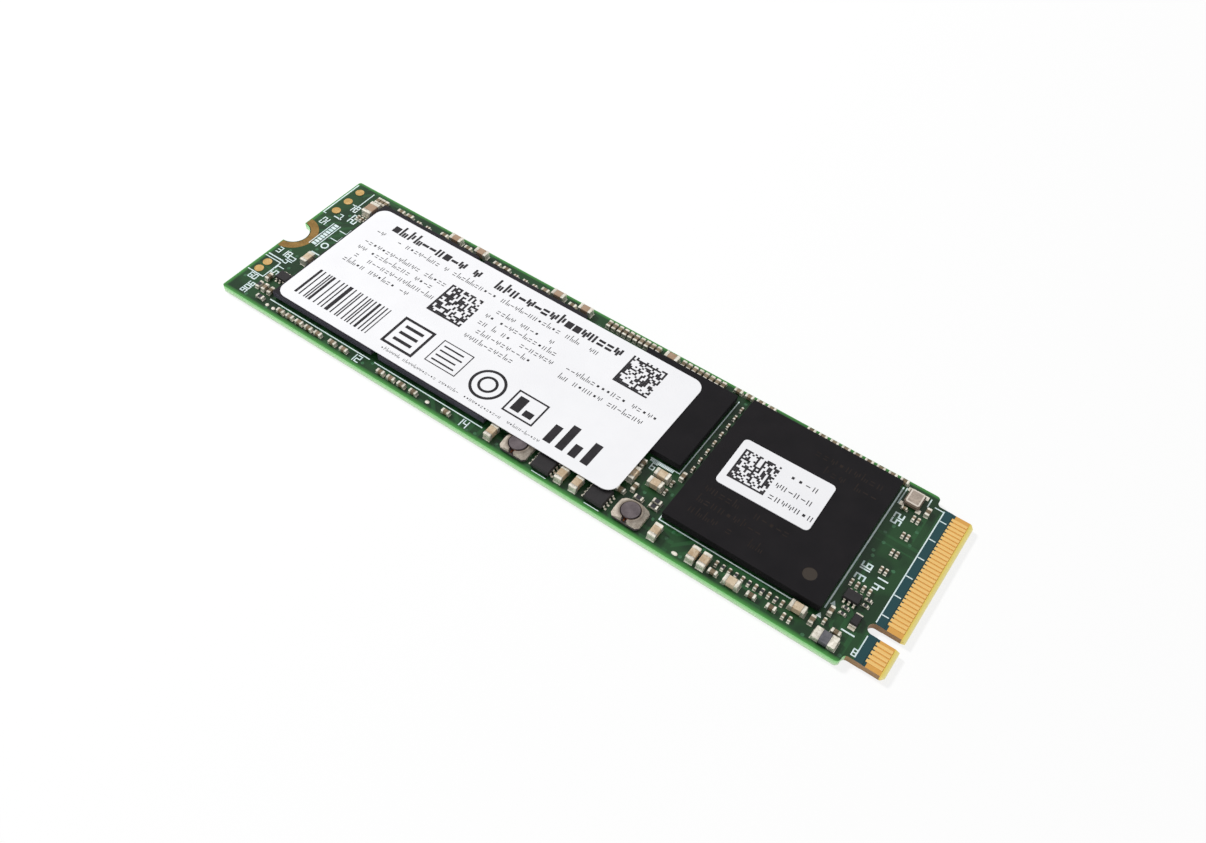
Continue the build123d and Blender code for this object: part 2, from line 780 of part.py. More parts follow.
def build():
    top_row, bottom_row, key_middle = contact_rows()
    rings = screw_pads()
    nodes = {
        "circuit_board": [circuit_board(key_middle, rings)],
        "top_contacts": contacts(top_row, board_thickness - copper_thickness),
        "bottom_contacts": contacts(bottom_row, 0),
        "screw_pads": rings,
        "header_pads": header_pads(),
        "flash_package_1": [package_body(flash_1)],
        "flash_package_2": [package_body(flash_2)],
        "dram_package": [package_body(dram)],
        "controller_package": [controller_body()],
        "flash_1_solder_balls": solder_balls(flash_1),
        "flash_2_solder_balls": solder_balls(flash_2),
        "dram_solder_balls": solder_balls(dram),
        "controller_solder_balls": solder_balls(controller),
        "main_label": [main_label()],
        "controller_label": [controller_label()],
    }
    strip = strip_centres()
    for number, x in enumerate(strip["inductor"], 1):
        for name, solids in inductor(x).items():
            nodes[f"inductor_{number}_{name}"] = solids
    regulator_y = strip_line + regulator.width / 2
    for number, x in enumerate(strip["regulator"], 1):
        nodes.update(leaded_chip(f"regulator_{number}", regulator, x, regulator_y))
    nodes.update(leaded_chip("switch_chip", six_lead, controller.right + six_lead_inset, six_lead_y, 90))
    nodes.update(leaded_chip("monitor_chip", six_lead, flash_1.left - mount_column_inset, mount_ic_y, 90))
    nodes.update(leaded_chip("diode", diode, controller.right + diode_inset, diode_y, 90))
    nodes.update(crystal())
    put_row("medium_capacitors", strip["capacitor"], strip_line + span("medium_capacitors") / 2, 90)
    flash_chips(flash_1, flash_1_rows)
    flash_chips(flash_2, flash_2_rows)
    far_edge_chips()
    dram_chips(strip["inductor"][-1])
    controller_near_chips()
    connector_chips()
    mount_chips()
    nodes.update(chip_nodes())
    return nodes


os.makedirs("parts", exist_ok=True)
for node, solids in build().items():
    export_step(group(solids), f"parts/{node}.step")
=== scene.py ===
import json
import math
import random
from functools import partial

import bmesh
import bpy
from mathutils import Matrix, Vector

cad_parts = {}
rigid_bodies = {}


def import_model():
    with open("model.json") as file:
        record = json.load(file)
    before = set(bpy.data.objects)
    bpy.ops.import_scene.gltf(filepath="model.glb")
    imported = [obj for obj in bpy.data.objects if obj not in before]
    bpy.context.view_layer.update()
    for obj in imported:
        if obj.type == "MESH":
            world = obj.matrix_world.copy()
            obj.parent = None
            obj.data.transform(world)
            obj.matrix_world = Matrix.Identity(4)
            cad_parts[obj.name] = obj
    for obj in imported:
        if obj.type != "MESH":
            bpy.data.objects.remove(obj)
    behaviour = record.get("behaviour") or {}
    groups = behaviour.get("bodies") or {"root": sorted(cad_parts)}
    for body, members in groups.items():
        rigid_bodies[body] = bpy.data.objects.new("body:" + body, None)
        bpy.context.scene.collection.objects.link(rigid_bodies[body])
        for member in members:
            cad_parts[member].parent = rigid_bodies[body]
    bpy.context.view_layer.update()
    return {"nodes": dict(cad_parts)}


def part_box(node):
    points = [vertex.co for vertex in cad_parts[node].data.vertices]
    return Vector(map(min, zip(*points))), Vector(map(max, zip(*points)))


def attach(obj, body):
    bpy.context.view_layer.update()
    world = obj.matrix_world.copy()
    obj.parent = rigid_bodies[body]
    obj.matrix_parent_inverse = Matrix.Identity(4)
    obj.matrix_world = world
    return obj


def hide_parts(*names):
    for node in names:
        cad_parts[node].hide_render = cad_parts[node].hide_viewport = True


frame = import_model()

cadNodes = frame["nodes"]
scene = bpy.context.scene
mm = 0.001
weld = 1e-7  # m, corners this close are one
quarter = math.pi / 2
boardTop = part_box("controller_solder_balls")[0].z / mm
print("frame loaded:", len(cadNodes), "nodes")


# small helpers

def hexColour(code):
    channels = [int(code[i:i + 2], 16) / 255 for i in (1, 3, 5)]
    linear = [c / 12.92 if c <= 0.04045 else ((c + 0.055) / 1.055) ** 2.4 for c in channels]
    return (*linear, 1.0)


def plug(node, links):  # in order or by socket; a node as a value stands for its first live output
    if not isinstance(links, dict):
        links = dict(enumerate(links))
    for socket, value in links.items():
        if isinstance(value, bpy.types.Node):
            value = next(output for output in value.outputs if output.enabled)
        elif isinstance(value, str) and value.startswith("#"):
            value = hexColour(value)
        if isinstance(value, bpy.types.NodeSocket):
            node.id_data.links.new(value, node.inputs[socket])
        else:
            node.inputs[socket].default_value = value


def addNode(tree, kind, links=(), **settings):  # a material's nodes go by their short names
    node = tree.nodes.new("ShaderNode" + kind if tree.type == "SHADER" else kind)
    for name, value in settings.items():
        setattr(node, name, value)
    plug(node, links)
    return node


def startMaterial(name, sockets):
    material = bpy.data.materials.new(name)
    material.use_nodes = True
    shader = material.node_tree.nodes["Principled BSDF"]
    plug(shader, sockets)
    return material, partial(addNode, material.node_tree), shader


def surfaceCoords(add):  # the piece's own coordinates, in millimetres
    coords = add("TexCoord").outputs["Object"]
    return add("VectorMath", (coords, (1 / mm,) * 3), operation="MULTIPLY")


def boxMillimetres(node):
    low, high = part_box(node)
    return low / mm, high / mm


def camelName(node):
    first, *rest = node.split("_")
    return first + "".join(word.capitalize() for word in rest)


def takeMesh(name, shape):
    mesh = bpy.data.meshes.new(name)
    shape.to_mesh(mesh)
    shape.free()
    return mesh


def addObject(name, data):
    thing = bpy.data.objects.new(name, data)
    scene.collection.objects.link(thing)
    return thing


def linkPiece(name, mesh, material=None, replaced=()):
    piece = addObject(name, mesh)
    if material:
        mesh.materials.clear()
        mesh.materials.append(material)
    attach(piece, "root")
    if replaced:
        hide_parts(*replaced)


# camera, from the photograph's own perspective

photoView = dict(
    azimuth=30.903, elevation=51.179, roll=5.134,  # degrees
    distance=117.985, aside=-2.589, above=2.255,  # mm from the card's middle
    focal=1138.67, imageWidth=1206,  # pixels of the photograph
    sensor=36.0, nearest=5.0)  # mm


def makeCamera(view):
    azimuth, elevation, roll = (math.radians(view[key]) for key in ("azimuth", "elevation", "roll"))
    back = Vector((math.sin(azimuth) * math.cos(elevation), -math.cos(azimuth) * math.cos(elevation),
                   math.sin(elevation)))
    level = Vector((math.cos(azimuth), math.sin(azimuth), 0))
    upright = back.cross(level)
    right = math.cos(roll) * level + math.sin(roll) * upright
    up = math.cos(roll) * upright - math.sin(roll) * level
    data = bpy.data.cameras.new("photoCamera")
    data.sensor_width = view["sensor"]
    data.lens = view["focal"] / view["imageWidth"] * view["sensor"]
    data.clip_start = view["nearest"] * mm
    camera = addObject("photoCamera", data)
    place = back * view["distance"] - right * view["aside"] - up * view["above"]
    camera.matrix_world = Matrix.Translation(place * mm) @ Matrix((right, up, back)).transposed().to_4x4()
    scene.camera = camera


makeCamera(photoView)
scene.view_settings.view_transform = "Standard"


# floor and light: a white table under soft boxes, in metres and watts

studio = dict(
    floorSize=2.4, floorDrop=0.00002, floorTone="#fafafa", floorGlow=0.8, glowNear=0.06, glowFar=0.4,
    worldLight=0.3, keyPlace=(-0.42, 0.09, 0.37), keyPower=3.08, keySize=0.09,
    fillPlace=(0.22, -0.30, 0.26), fillPower=0.53, fillSize=0.4)


def backdropRays(add):  # one for rays that see a backdrop: straight, mirrored or through glass
    path = add("LightPath").outputs
    seen = add("Math", (path["Is Camera Ray"], path["Is Glossy Ray"]), operation="MAXIMUM")
    return add("Math", (seen, path["Is Transmission Ray"]), operation="MAXIMUM")


def makeFloor(look):
    shape = bmesh.new()
    bmesh.ops.create_grid(shape, x_segments=1, y_segments=1, size=look["floorSize"] / 2)
    bmesh.ops.translate(shape, verts=shape.verts, vec=(0, 0, -look["floorDrop"]))
    table = addObject("tableTop", takeMesh("tableTop", shape))
    material, add, shader = startMaterial("whiteTable", {
        "Base Color": look["floorTone"], "Roughness": 0.9, "Specular IOR Level": 0.1})
    # near the card most of the table is plain white and the rest keeps the shadow; far off all is white
    coords = add("TexCoord").outputs["Object"]
    reach = add("VectorMath", (coords,), operation="LENGTH")
    glow = add("MapRange", (reach, look["glowNear"], look["glowFar"], look["floorGlow"], 1.0))
    share = add("Math", (backdropRays(add), glow), operation="MULTIPLY")
    white = add("Emission", {"Color": (1, 1, 1, 1), "Strength": 1.0})
    mixed = add("MixShader", (share, shader, white))
    plug(material.node_tree.nodes["Material Output"], {"Surface": mixed})
    table.data.materials.append(material)


def makeWorld(look):
    world = bpy.data.worlds.new("softRoom")
    world.use_nodes = True
    scene.world = world
    add = partial(addNode, world.node_tree)
    strength = add("MapRange", {0: backdropRays(add), 3: look["worldLight"], 4: 1.0})
    plug(world.node_tree.nodes["Background"], {"Color": (1, 1, 1, 1), "Strength": strength})


def makeLamp(name, place, size, power):
    data = bpy.data.lights.new(name, "AREA")
    data.size = size
    data.energy = power
    lamp = addObject(name, data)
    lamp.location = place
    lamp.rotation_euler = (-Vector(place)).to_track_quat("-Z", "Y").to_euler()
    lamp.visible_glossy = False  # gloss comes from the white room alone, so no lamp glares off the card


makeFloor(studio)
makeWorld(studio)
makeLamp("keyBox", studio["keyPlace"], studio["keySize"], studio["keyPower"])  # from beyond the screw end
makeLamp("fillBox", studio["fillPlace"], studio["fillSize"], studio["fillPower"])
print("camera, floor and light are set")


# materials of two tones, mixed by their grain, with a little relief; sizes in mm

noiseLow, noiseHigh = 0.3, 0.7  # most of a noise lies between these
toneLow, toneHigh = 0.72, 1.28  # and most of the sum of two noises between these
finishLooks = {
    # epoxy with silica filler, moulded in a spark-eroded tool: dull black with a fine, sparkle-free grain
    "mouldedEpoxy": dict(
        dark="#161517", light="#1e1c1e", grain=0.09, blotch=2.5, roughness=(0.56, 0.7), relief=0.004,
        specular=0.12),
    # the same epoxy cut by a saw, on the flash packages' sides: greyer, with a cool cast
    "sawnEpoxy": dict(
        dark="#413f49", light="#54515d", grain=0.09, blotch=2.5, roughness=(0.5, 0.66), relief=0.005,
        specular=0.2),
    # the same epoxy on small parts, a shade greyer where the tool polished it
    "mouldedEpoxySmall": dict(
        dark="#1c1b1c", light="#282527", grain=0.07, blotch=0.8, roughness=(0.42, 0.56), relief=0.003,
        specular=0.35),
    # sintered barium titanate, tumbled: warm tan with a faint speckle, each part a little different
    "bariumTitanate": dict(
        dark="#b09778", light="#d9c8ae", grain=0.07, blotch=0.6, roughness=(0.42, 0.6), relief=0.002,
        specular=0.45, perPiece=0.3),
    # the smaller chips are darker
    "bariumTitanateSmall": dict(
        dark="#61533f", light="#8e7e67", grain=0.06, blotch=0.4, roughness=(0.42, 0.6), relief=0.002,
        specular=0.45, perPiece=0.5),
    # matte tin over nickel, reflowed with the solder: creamy white metal, softly dented
    "matteTin": dict(
        dark="#cbc4b4", light="#fbf6ea", grain=0.11, blotch=0.3, roughness=(0.3, 0.46), relief=0.012,
        metallic=0.6, perPiece=0.25),
    # reflowed solder left as balls: grey-white and bright
    "solderAlloy": dict(
        dark="#a9a69c", light="#e3dfd4", grain=0.12, blotch=0.4, roughness=(0.26, 0.4), relief=0.006,
        metallic=0.9),
    # resin-coated ferrite shield: grey-beige, blotched where the resin pooled
    "resinCoatedFerrite": dict(
        dark="#a2978a", light="#d2c8ba", grain=0.12, blotch=0.5, roughness=(0.4, 0.6), relief=0.003,
        specular=0.4),
    # nickel-zinc ferrite, ground flat: grey with a violet cast
    "groundFerrite": dict(
        dark="#4c4447", light="#6d6467", grain=0.06, blotch=0.7, roughness=(0.4, 0.55), relief=0.004,
        specular=0.4),
    # enamelled copper wire: red-brown metal under a clear skin
    "enamelledCopper": dict(
        dark="#4a2413", light="#7f4726", grain=0.15, blotch=0.5, roughness=(0.26, 0.4), relief=0.004,
        metallic=0.8),
    # alumina base of the crystal: fired ceramic, brown-grey
    "firedAlumina": dict(
        dark="#5d5147", light="#7d6e60", grain=0.08, blotch=0.5, roughness=(0.5, 0.65), relief=0.003),
    # nickel-plated kovar lid, seam-welded: satin metal with a warm tint
    "platedKovar": dict(
        dark="#94887d", light="#b8aa9d", grain=0.2, blotch=0.7, roughness=(0.34, 0.46), relief=0.001,
        metallic=0.6),
    # glazed ceramic body of the fuse: cool grey
    "glazedCeramic": dict(
        dark="#4d4d53", light="#6c6b70", grain=0.08, blotch=0.5, roughness=(0.4, 0.55), relief=0.003),
    # immersion gold on bare copper lands: dull brown-gold, handled by a screw head
    "immersionGold": dict(
        dark="#826538", light="#a9864e", grain=0.16, blotch=0.9, roughness=(0.36, 0.52), relief=0.003,
        metallic=0.85),
    # the same gold on the header pads, which nothing has touched: brighter and yellower
    "headerGold": dict(
        dark="#bb9655", light="#e2be82", grain=0.14, blotch=0.5, roughness=(0.3, 0.42), relief=0.003,
        metallic=0.85),
    # screen-printed epoxy ink: thick white with a slightly rough edge-to-edge film
    "epoxyInk": dict(
        dark="#c4dcdd", light="#edf7f6", grain=0.09, blotch=0.6, roughness=(0.5, 0.65), relief=0.004),
    # thermal-transfer ink on the labels: near black, a little uneven
    "thermalInk": dict(
        dark="#151316", light="#2b282c", grain=0.08, blotch=0.8, roughness=(0.42, 0.58), relief=0.002,
        specular=0.3),
    # epoxy scorched by a marking laser: only a little browner and duller than its surroundings
    "laserMarkedEpoxy": dict(
        dark="#241f1d", light="#332c29", grain=0.1, blotch=1.2, roughness=(0.66, 0.8), relief=0.003,
        specular=0.12),
    # solder mask drawn over a plated hole: a slightly paler, shiny little cup
    "tentedMask": dict(
        dark="#1d4c2b", light="#2f6640", grain=0.15, blotch=0.6, roughness=(0.24, 0.34), relief=0.002),
}
finishLooks["mouldedEpoxyMarked"] = finishLooks["mouldedEpoxy"]  # the controller's own, with its dimple


def dressShader(shader, look, colour, grain, raised=None):  # gloss follows the grain, as relief mostly does
    add = partial(addNode, shader.id_data)
    low, high = look.get("noise", (noiseLow, noiseHigh))
    smooth, rough = look["roughness"]
    gloss = add("MapRange", (grain, low, high, smooth, rough))
    plug(shader, {"Base Color": colour, "Roughness": gloss})
    if "relief" in look:
        relief = add("Bump", {"Height": raised or grain, "Distance": look["relief"] * mm})
        plug(shader, {"Normal": relief})


def grainyMaterial(name, look):
    material, add, shader = startMaterial(name, {
        "Metallic": look.get("metallic", 0.0), "Specular IOR Level": look.get("specular", 0.5)})
    coords = surfaceCoords(add)
    grain = add("TexNoise", {"Vector": coords, "Scale": 1 / look["grain"], "Detail": 4.0})
    blotch = add("TexNoise", {"Vector": coords, "Scale": 1 / look["blotch"], "Detail": 2.0})
    both = add("Math", (grain, blotch), operation="ADD")
    if "perPiece" in look:  # each small part has a tone of its own
        tone = add("Attribute", attribute_name="tone").outputs["Fac"]
        part = add("Math", (tone, look["perPiece"], both), operation="MULTIPLY_ADD")
        both = add("Math", (part, look["perPiece"] / 2), operation="SUBTRACT")
    spread = add("MapRange", (both, toneLow, toneHigh))
    colour = add("Mix", {0: spread, 6: look["dark"], 7: look["light"]}, data_type="RGBA")
    dressShader(shader, look, colour, grain)
    return material


finish = {name: grainyMaterial(name, look) for name, look in finishLooks.items()}


# hard gold on nickel: orange-gold, drawn along the card by the socket's springs
contactLook = dict(gold="#e2b15f", bright="#f5d18e", streak=0.05, length=1.6, roughness=(0.24, 0.4))


def contactMaterial(look):
    material, add, shader = startMaterial("hardGold", {"Metallic": 1.0})
    drawn = add("Mapping", {
        "Vector": surfaceCoords(add), "Scale": (1 / look["length"], 1 / look["streak"], 1)})
    streaks = add("TexNoise", {"Vector": drawn, "Scale": 1.0, "Detail": 3.0})
    colour = add("Mix", {0: streaks, 6: look["gold"], 7: look["bright"]}, data_type="RGBA")
    dressShader(shader, look, colour, streaks)
    return material


# coated label paper: bright white, faint fibre, soft sheen from the coating
paperLook = dict(
    white="#f6f6f8", shade="#ebebee", fibre=0.35, cloud=4.0,
    roughness=(0.34, 0.46), noise=(0, 1), relief=0.002)


def paperMaterial(look):
    material, add, shader = startMaterial("coatedPaper", {"Specular IOR Level": 0.35})
    coords = surfaceCoords(add)
    cloud = add("TexNoise", {"Vector": coords, "Scale": 1 / look["cloud"], "Detail": 3.0})
    fibre = add("TexNoise", {"Vector": coords, "Scale": 1 / look["fibre"], "Detail": 5.0, "Distortion": 1.5})
    colour = add("Mix", {0: cloud, 6: look["shade"], 7: look["white"]}, data_type="RGBA")
    dressShader(shader, look, colour, fibre)
    return material


# thick-film resistor: black glass over a white alumina chip
resistorLook = dict(glass="#17161a", sheen="#2a282d", alumina="#d9d4c8", grain=0.08, steepest=0.6)


def facesUp(add, steepest):  # one on faces that look up
    normal = add("NewGeometry").outputs["Normal"]
    upward = add("SeparateXYZ", (normal,)).outputs["Z"]
    return add("Math", (upward, steepest), operation="GREATER_THAN")


def resistorMaterial(look):
    material, add, shader = startMaterial("thickFilmChip", {"Roughness": 0.34})
    grain = add("TexNoise", {"Vector": surfaceCoords(add), "Scale": 1 / look["grain"], "Detail": 3.0})
    glass = add("Mix", {0: grain, 6: look["glass"], 7: look["sheen"]}, data_type="RGBA")
    onTop = facesUp(add, look["steepest"])
    colour = add("Mix", {0: onTop, 6: look["alumina"], 7: glass}, data_type="RGBA")
    plug(shader, {"Base Color": colour})
    return material


finish["hardGold"] = contactMaterial(contactLook)
finish["coatedPaper"] = paperMaterial(paperLook)
finish["thickFilmChip"] = resistorMaterial(resistorLook)


# second tones on a few of the grainy materials

def layTone(share, tone):  # as far as share says
    shader = share.id_data.nodes["Principled BSDF"]
    plain = shader.inputs["Base Color"].links[0].from_socket
    mixed = addNode(share.id_data, "Mix", {0: share, 6: plain, 7: tone}, data_type="RGBA")
    plug(shader, {"Base Color": mixed})


def reachFrom(add, x, y):  # how far the surface lies from a place on the card, seen from above
    flat = add("VectorMath", (surfaceCoords(add), (1, 1, 0)), operation="MULTIPLY")
    return add("VectorMath", (flat, (x, y, 0)), operation="DISTANCE")


# the controller's pin-one dimple was polished in the tool and shows grey
dimpleLook = dict(inset=2.45, radius=0.71, grey="#423c37")
add = partial(addNode, finish["mouldedEpoxyMarked"].node_tree)
low, high = boxMillimetres("controller_package")
away = reachFrom(add, high.x - dimpleLook["inset"], low.y + dimpleLook["inset"])
inside = add("Math", (away, dimpleLook["radius"]), operation="LESS_THAN")
layTone(inside, dimpleLook["grey"])

# the flash packages' tops were moulded and are as black as the other packages
flashTopLook = dict(tone="#1a181a", steepest=0.6, share=0.9)
add = partial(addNode, finish["sawnEpoxy"].node_tree)
onTop = facesUp(add, flashTopLook["steepest"])
share = add("Math", (onTop, flashTopLook["share"]), operation="MULTIPLY")
layTone(share, flashTopLook["tone"])

# the capacitors along the far edge are darker and browner than the rest
farRowLook = dict(tone="#8f6f5a", fromY=7.0, share=0.7)
add = partial(addNode, finish["bariumTitanate"].node_tree)
across = add("SeparateXYZ", (surfaceCoords(add),)).outputs["Y"]
far = add("Math", (across, farRowLook["fromY"]), operation="GREATER_THAN")
share = add("Math", (far, farRowLook["share"]), operation="MULTIPLY")
layTone(share, farRowLook["tone"])

# painted shade: the inductors' shields are darker and browner round the drum, where the gap and the slope lie
# in shade
drumShadeLook = dict(tone="#5f5348", inner=0.98, outer=1.42)
add = partial(addNode, finish["resinCoatedFerrite"].node_tree)
reach = []
for node in ("inductor_1_core", "inductor_2_core"):
    low, high = boxMillimetres(node)
    reach.append(reachFrom(add, (low.x + high.x) / 2, (low.y + high.y) / 2))
nearest = add("Math", reach, operation="MINIMUM")
drumShade = add("MapRange", (nearest, drumShadeLook["inner"], drumShadeLook["outer"], 1.0, 0.0))
layTone(drumShade, drumShadeLook["tone"])

# the crystal's lid has the paler, brushed track of the seam welder round it
seamLook = dict(track=0.16, tone="#d9cfc4")
add = partial(addNode, finish["platedKovar"].node_tree)
low, high = boxMillimetres("crystal_lid")
middle = (low + high) / 2
place = add("VectorMath", (surfaceCoords(add), tuple(middle)), operation="SUBTRACT")
place = add("VectorMath", (place,), operation="ABSOLUTE")
place = add("SeparateXYZ", (place,)).outputs
onTrack = [add("Math", (place[axis], half - seamLook["track"]), operation="GREATER_THAN")
           for axis, half in (("X", high.x - middle.x), ("Y", high.y - middle.y))]
layTone(add("Math", onTrack, operation="MAXIMUM"), seamLook["tone"])


# glass-epoxy card under liquid solder mask: glossy green, paler over copper, bluish where there is none,
# bright green laminate along the routed edges and bare amber laminate on the tongue; walls and bevel get
# painted glow
boardLook = dict(
    mask="#102e16", copper="#1a3e1f", bare="#173f44", trace="#25522d", rim="#4c9247", edgeTop="#82d87b",
    edgeGlowLow="#def9d4", amber="#d8a152", bevelTop="#ffe264", bevelGlowEnd="#fff6b0", notch="#a07c52",
    patch=3.2, pourEdge=(0.44, 0.56),  # the noise where copper starts and is whole
    traceField=4.5, turns=4, tracePitch=0.55, traceEdge=(0.58, 0.66), routedShare=0.5, traceShare=0.6,
    edges=(("Y", -10.5, -11.0), ("Y", 10.6, 11.0), ("X", -39.5, -40.0)),  # where copper stops, and the edge
    blueFrom=36.95, bareFrom=38.05, bevelFrom=39.55, bevelTo=40.0, notchFrom=36.2,
    thickness=0.8, steepest=0.5, fine=0.25, roughness=(0.3, 0.42), relief=0.006)


def boardMaterial(look):
    material, add, shader = startMaterial("solderMaskBoard", {"Specular IOR Level": 0.3})
    coords = surfaceCoords(add)
    place = add("SeparateXYZ", (coords,)).outputs
    # copper pours and gaps
    patch = add("TexNoise", {"Vector": coords, "Scale": 1 / look["patch"], "Detail": 1.0})
    pour = add("MapRange", (patch, *look["pourEdge"]))
    mask = add("Mix", {0: pour, 6: look["mask"], 7: look["copper"]}, data_type="RGBA")
    # runs of parallel traces that turn from field to field
    field = add("TexVoronoi", {"Vector": coords, "Scale": 1 / look["traceField"]}, distance="CHEBYCHEV")
    draw = add("SeparateColor", (field.outputs["Color"],)).outputs
    step = add("Math", (draw[0], look["turns"]), operation="MULTIPLY")
    step = add("Math", (step,), operation="FLOOR")
    angle = add("Math", (step, math.pi / look["turns"]), operation="MULTIPLY")
    turned = add("VectorRotate", {"Vector": coords, "Angle": angle}, rotation_type="Z_AXIS")
    across = add("SeparateXYZ", (turned,)).outputs["X"]
    lane = add("Math", (across, look["tracePitch"]), operation="PINGPONG")
    start, whole = (look["tracePitch"] * share for share in look["traceEdge"])
    line = add("MapRange", (lane, start, whole))
    routed = add("Math", (draw[1], look["routedShare"]), operation="GREATER_THAN")
    line = add("Math", (line, routed), operation="MULTIPLY")
    faint = add("Math", (line, look["traceShare"]), operation="MULTIPLY")
    mask = add("Mix", {0: faint, 6: mask, 7: look["trace"]}, data_type="RGBA")
    # light comes through the laminate beyond the copper
    rim = 0.0
    for axis, inner, outer in look["edges"]:
        near = add("MapRange", (place[axis], inner, outer))
        rim = add("Math", (near, rim), operation="MAXIMUM")
    flat = add("Mix", {0: rim, 6: mask, 7: look["rim"]}, data_type="RGBA")
    # zones of the flats, from the copper-free band to the bevel, and those of the walls
    depth = add("MapRange", (place["Z"], 0.0, look["thickness"]))
    # painted glow: the walls run from green at the top to near white at the foot; the pale green edge is the
    # laminate's own, the whitening is painted light
    wall = add("Mix", {0: depth, 6: look["edgeGlowLow"], 7: look["edgeTop"]}, data_type="RGBA")
    # painted glow: the bevel's bare laminate is yellow, and its pale run to near white at the card's end is
    # painted light
    run = add("MapRange", (place["X"], look["bevelFrom"], look["bevelTo"]))
    bevel = add("Mix", {0: run, 6: look["bevelTop"], 7: look["bevelGlowEnd"]}, data_type="RGBA")
    for zone, tone in (("blueFrom", look["bare"]), ("bareFrom", look["amber"]), ("bevelFrom", bevel)):
        past = add("Math", (place["X"], look[zone]), operation="GREATER_THAN")
        flat = add("Mix", {0: past, 6: flat, 7: tone}, data_type="RGBA")
    for zone, tone in (("notchFrom", look["notch"]), ("bevelFrom", bevel)):
        past = add("Math", (place["X"], look[zone]), operation="GREATER_THAN")
        wall = add("Mix", {0: past, 6: wall, 7: tone}, data_type="RGBA")
    normal = add("NewGeometry").outputs["Normal"]
    level = add("SeparateXYZ", (normal,)).outputs["Z"]
    level = add("Math", (level,), operation="ABSOLUTE")
    steep = add("Math", (level, look["steepest"]), operation="LESS_THAN")
    colour = add("Mix", {0: steep, 6: flat, 7: wall}, data_type="RGBA")
    fine = add("TexNoise", {"Vector": coords, "Scale": 1 / look["fine"], "Detail": 3.0})
    raised = add("Math", (line, pour), operation="MAXIMUM")
    dressShader(shader, look, colour, fine, raised)
    return material


finish["solderMaskBoard"] = boardMaterial(boardLook)
print("materials are made:", len(finish))


# solids that keep their form and get the small edge radius of the real piece

edgeLook = dict(segments=2, sharpest=35, flattest=0.5)  # degrees: edges that are rounded, joins that are none
softEdges = {  # radius in mm, finish, record slot
    "flash_package_1": (0.05, "sawnEpoxy", "mould_compound"),
    "flash_package_2": (0.05, "sawnEpoxy", "mould_compound"),
    "dram_package": (0.05, "mouldedEpoxy", "mould_compound"),
    "controller_package": (0.05, "mouldedEpoxyMarked", "mould_compound"),
    "inductor_1_shield": (0.03, "resinCoatedFerrite", "ferrite_shield"),
    "inductor_2_shield": (0.03, "resinCoatedFerrite", "ferrite_shield"),
    "inductor_1_core": (0.03, "groundFerrite", "ferrite_core"),
    "inductor_2_core": (0.03, "groundFerrite", "ferrite_core"),
    "inductor_1_terminals": (0.03, "matteTin", "tin_terminals"),
    "inductor_2_terminals": (0.03, "matteTin", "tin_terminals"),
    "regulator_1_body": (0.03, "mouldedEpoxySmall", "chip_mould"),
    "regulator_2_body": (0.03, "mouldedEpoxySmall", "chip_mould"),
    "regulator_1_leads": (0.02, "matteTin", "tin_terminals"),
    "regulator_2_leads": (0.02, "matteTin", "tin_terminals"),
    "switch_chip_body": (0.03, "mouldedEpoxySmall", "chip_mould"),
    "switch_chip_leads": (0.02, "matteTin", "tin_terminals"),
    "monitor_chip_body": (0.03, "mouldedEpoxySmall", "chip_mould"),
    "monitor_chip_leads": (0.02, "matteTin", "tin_terminals"),
    "diode_body": (0.03, "mouldedEpoxySmall", "chip_mould"),
    "diode_leads": (0.02, "matteTin", "tin_terminals"),
    "crystal_base": (0.03, "firedAlumina", "crystal_ceramic"),
    "crystal_lid": (0.015, "platedKovar", "crystal_metal"),
}


def frozenMesh(piece):  # the piece as its modifiers leave it, as a plain mesh
    depsgraph = bpy.context.evaluated_depsgraph_get()
    mesh = bpy.data.meshes.new_from_object(
        piece.evaluated_get(depsgraph), preserve_all_data_layers=True, depsgraph=depsgraph)
    piece.modifiers.clear()
    return mesh


def weldedCopy(node):  # a node's loose triangles as closed solids
    shape = bmesh.new()
    shape.from_mesh(cadNodes[node].data)
    bmesh.ops.remove_doubles(shape, verts=shape.verts, dist=weld)
    return shape


def roundEdges(name, shape, radius):  # flats stay flat
    mesh = takeMesh(name, shape)
    if "custom_normal" in mesh.attributes:
        mesh.attributes.remove(mesh.attributes["custom_normal"])
    for face in mesh.polygons:
        face.use_smooth = True
    holder = addObject(name, mesh)
    bevel = holder.modifiers.new("edgeRadius", "BEVEL")
    bevel.width = radius * mm
    bevel.segments = edgeLook["segments"]
    bevel.limit_method = "ANGLE"
    bevel.angle_limit = math.radians(edgeLook["sharpest"])
    bevel.harden_normals = True
    rounded = frozenMesh(holder)
    bpy.data.objects.remove(holder)
    bpy.data.meshes.remove(mesh)
    return rounded


for node, (radius, finishName, slot) in softEdges.items():
    shape = weldedCopy(node)
    flattest = math.radians(edgeLook["flattest"])
    bmesh.ops.dissolve_limit(shape, angle_limit=flattest, verts=shape.verts, edges=shape.edges)
    linkPiece(camelName(node), roundEdges(camelName(node), shape, radius), finish[finishName], [node])
print("soft edges on", len(softEdges), "pieces")


# Geometry Nodes: a tree starts with its named inputs and ends in real geometry with its finish

def startTree(name, **inputs):
    tree = bpy.data.node_groups.new(name, "GeometryNodeTree")
    for socket, kind in {"Geometry": "Geometry", **inputs, "Finish": "Material", "Seed": "Int"}.items():
        tree.interface.new_socket(socket, in_out="INPUT", socket_type="NodeSocket" + kind)
    tree.interface.new_socket("Geometry", in_out="OUTPUT", socket_type="NodeSocketGeometry")
    add = partial(addNode, tree)
    return add, add("NodeGroupInput").outputs


def endTree(add, given, instances):
    solid = add("GeometryNodeRealizeInstances", {"Geometry": instances})
    done = add("GeometryNodeSetMaterial", {"Geometry": solid, "Material": given["Finish"]})
    return add("NodeGroupOutput", {"Geometry": done}).id_data


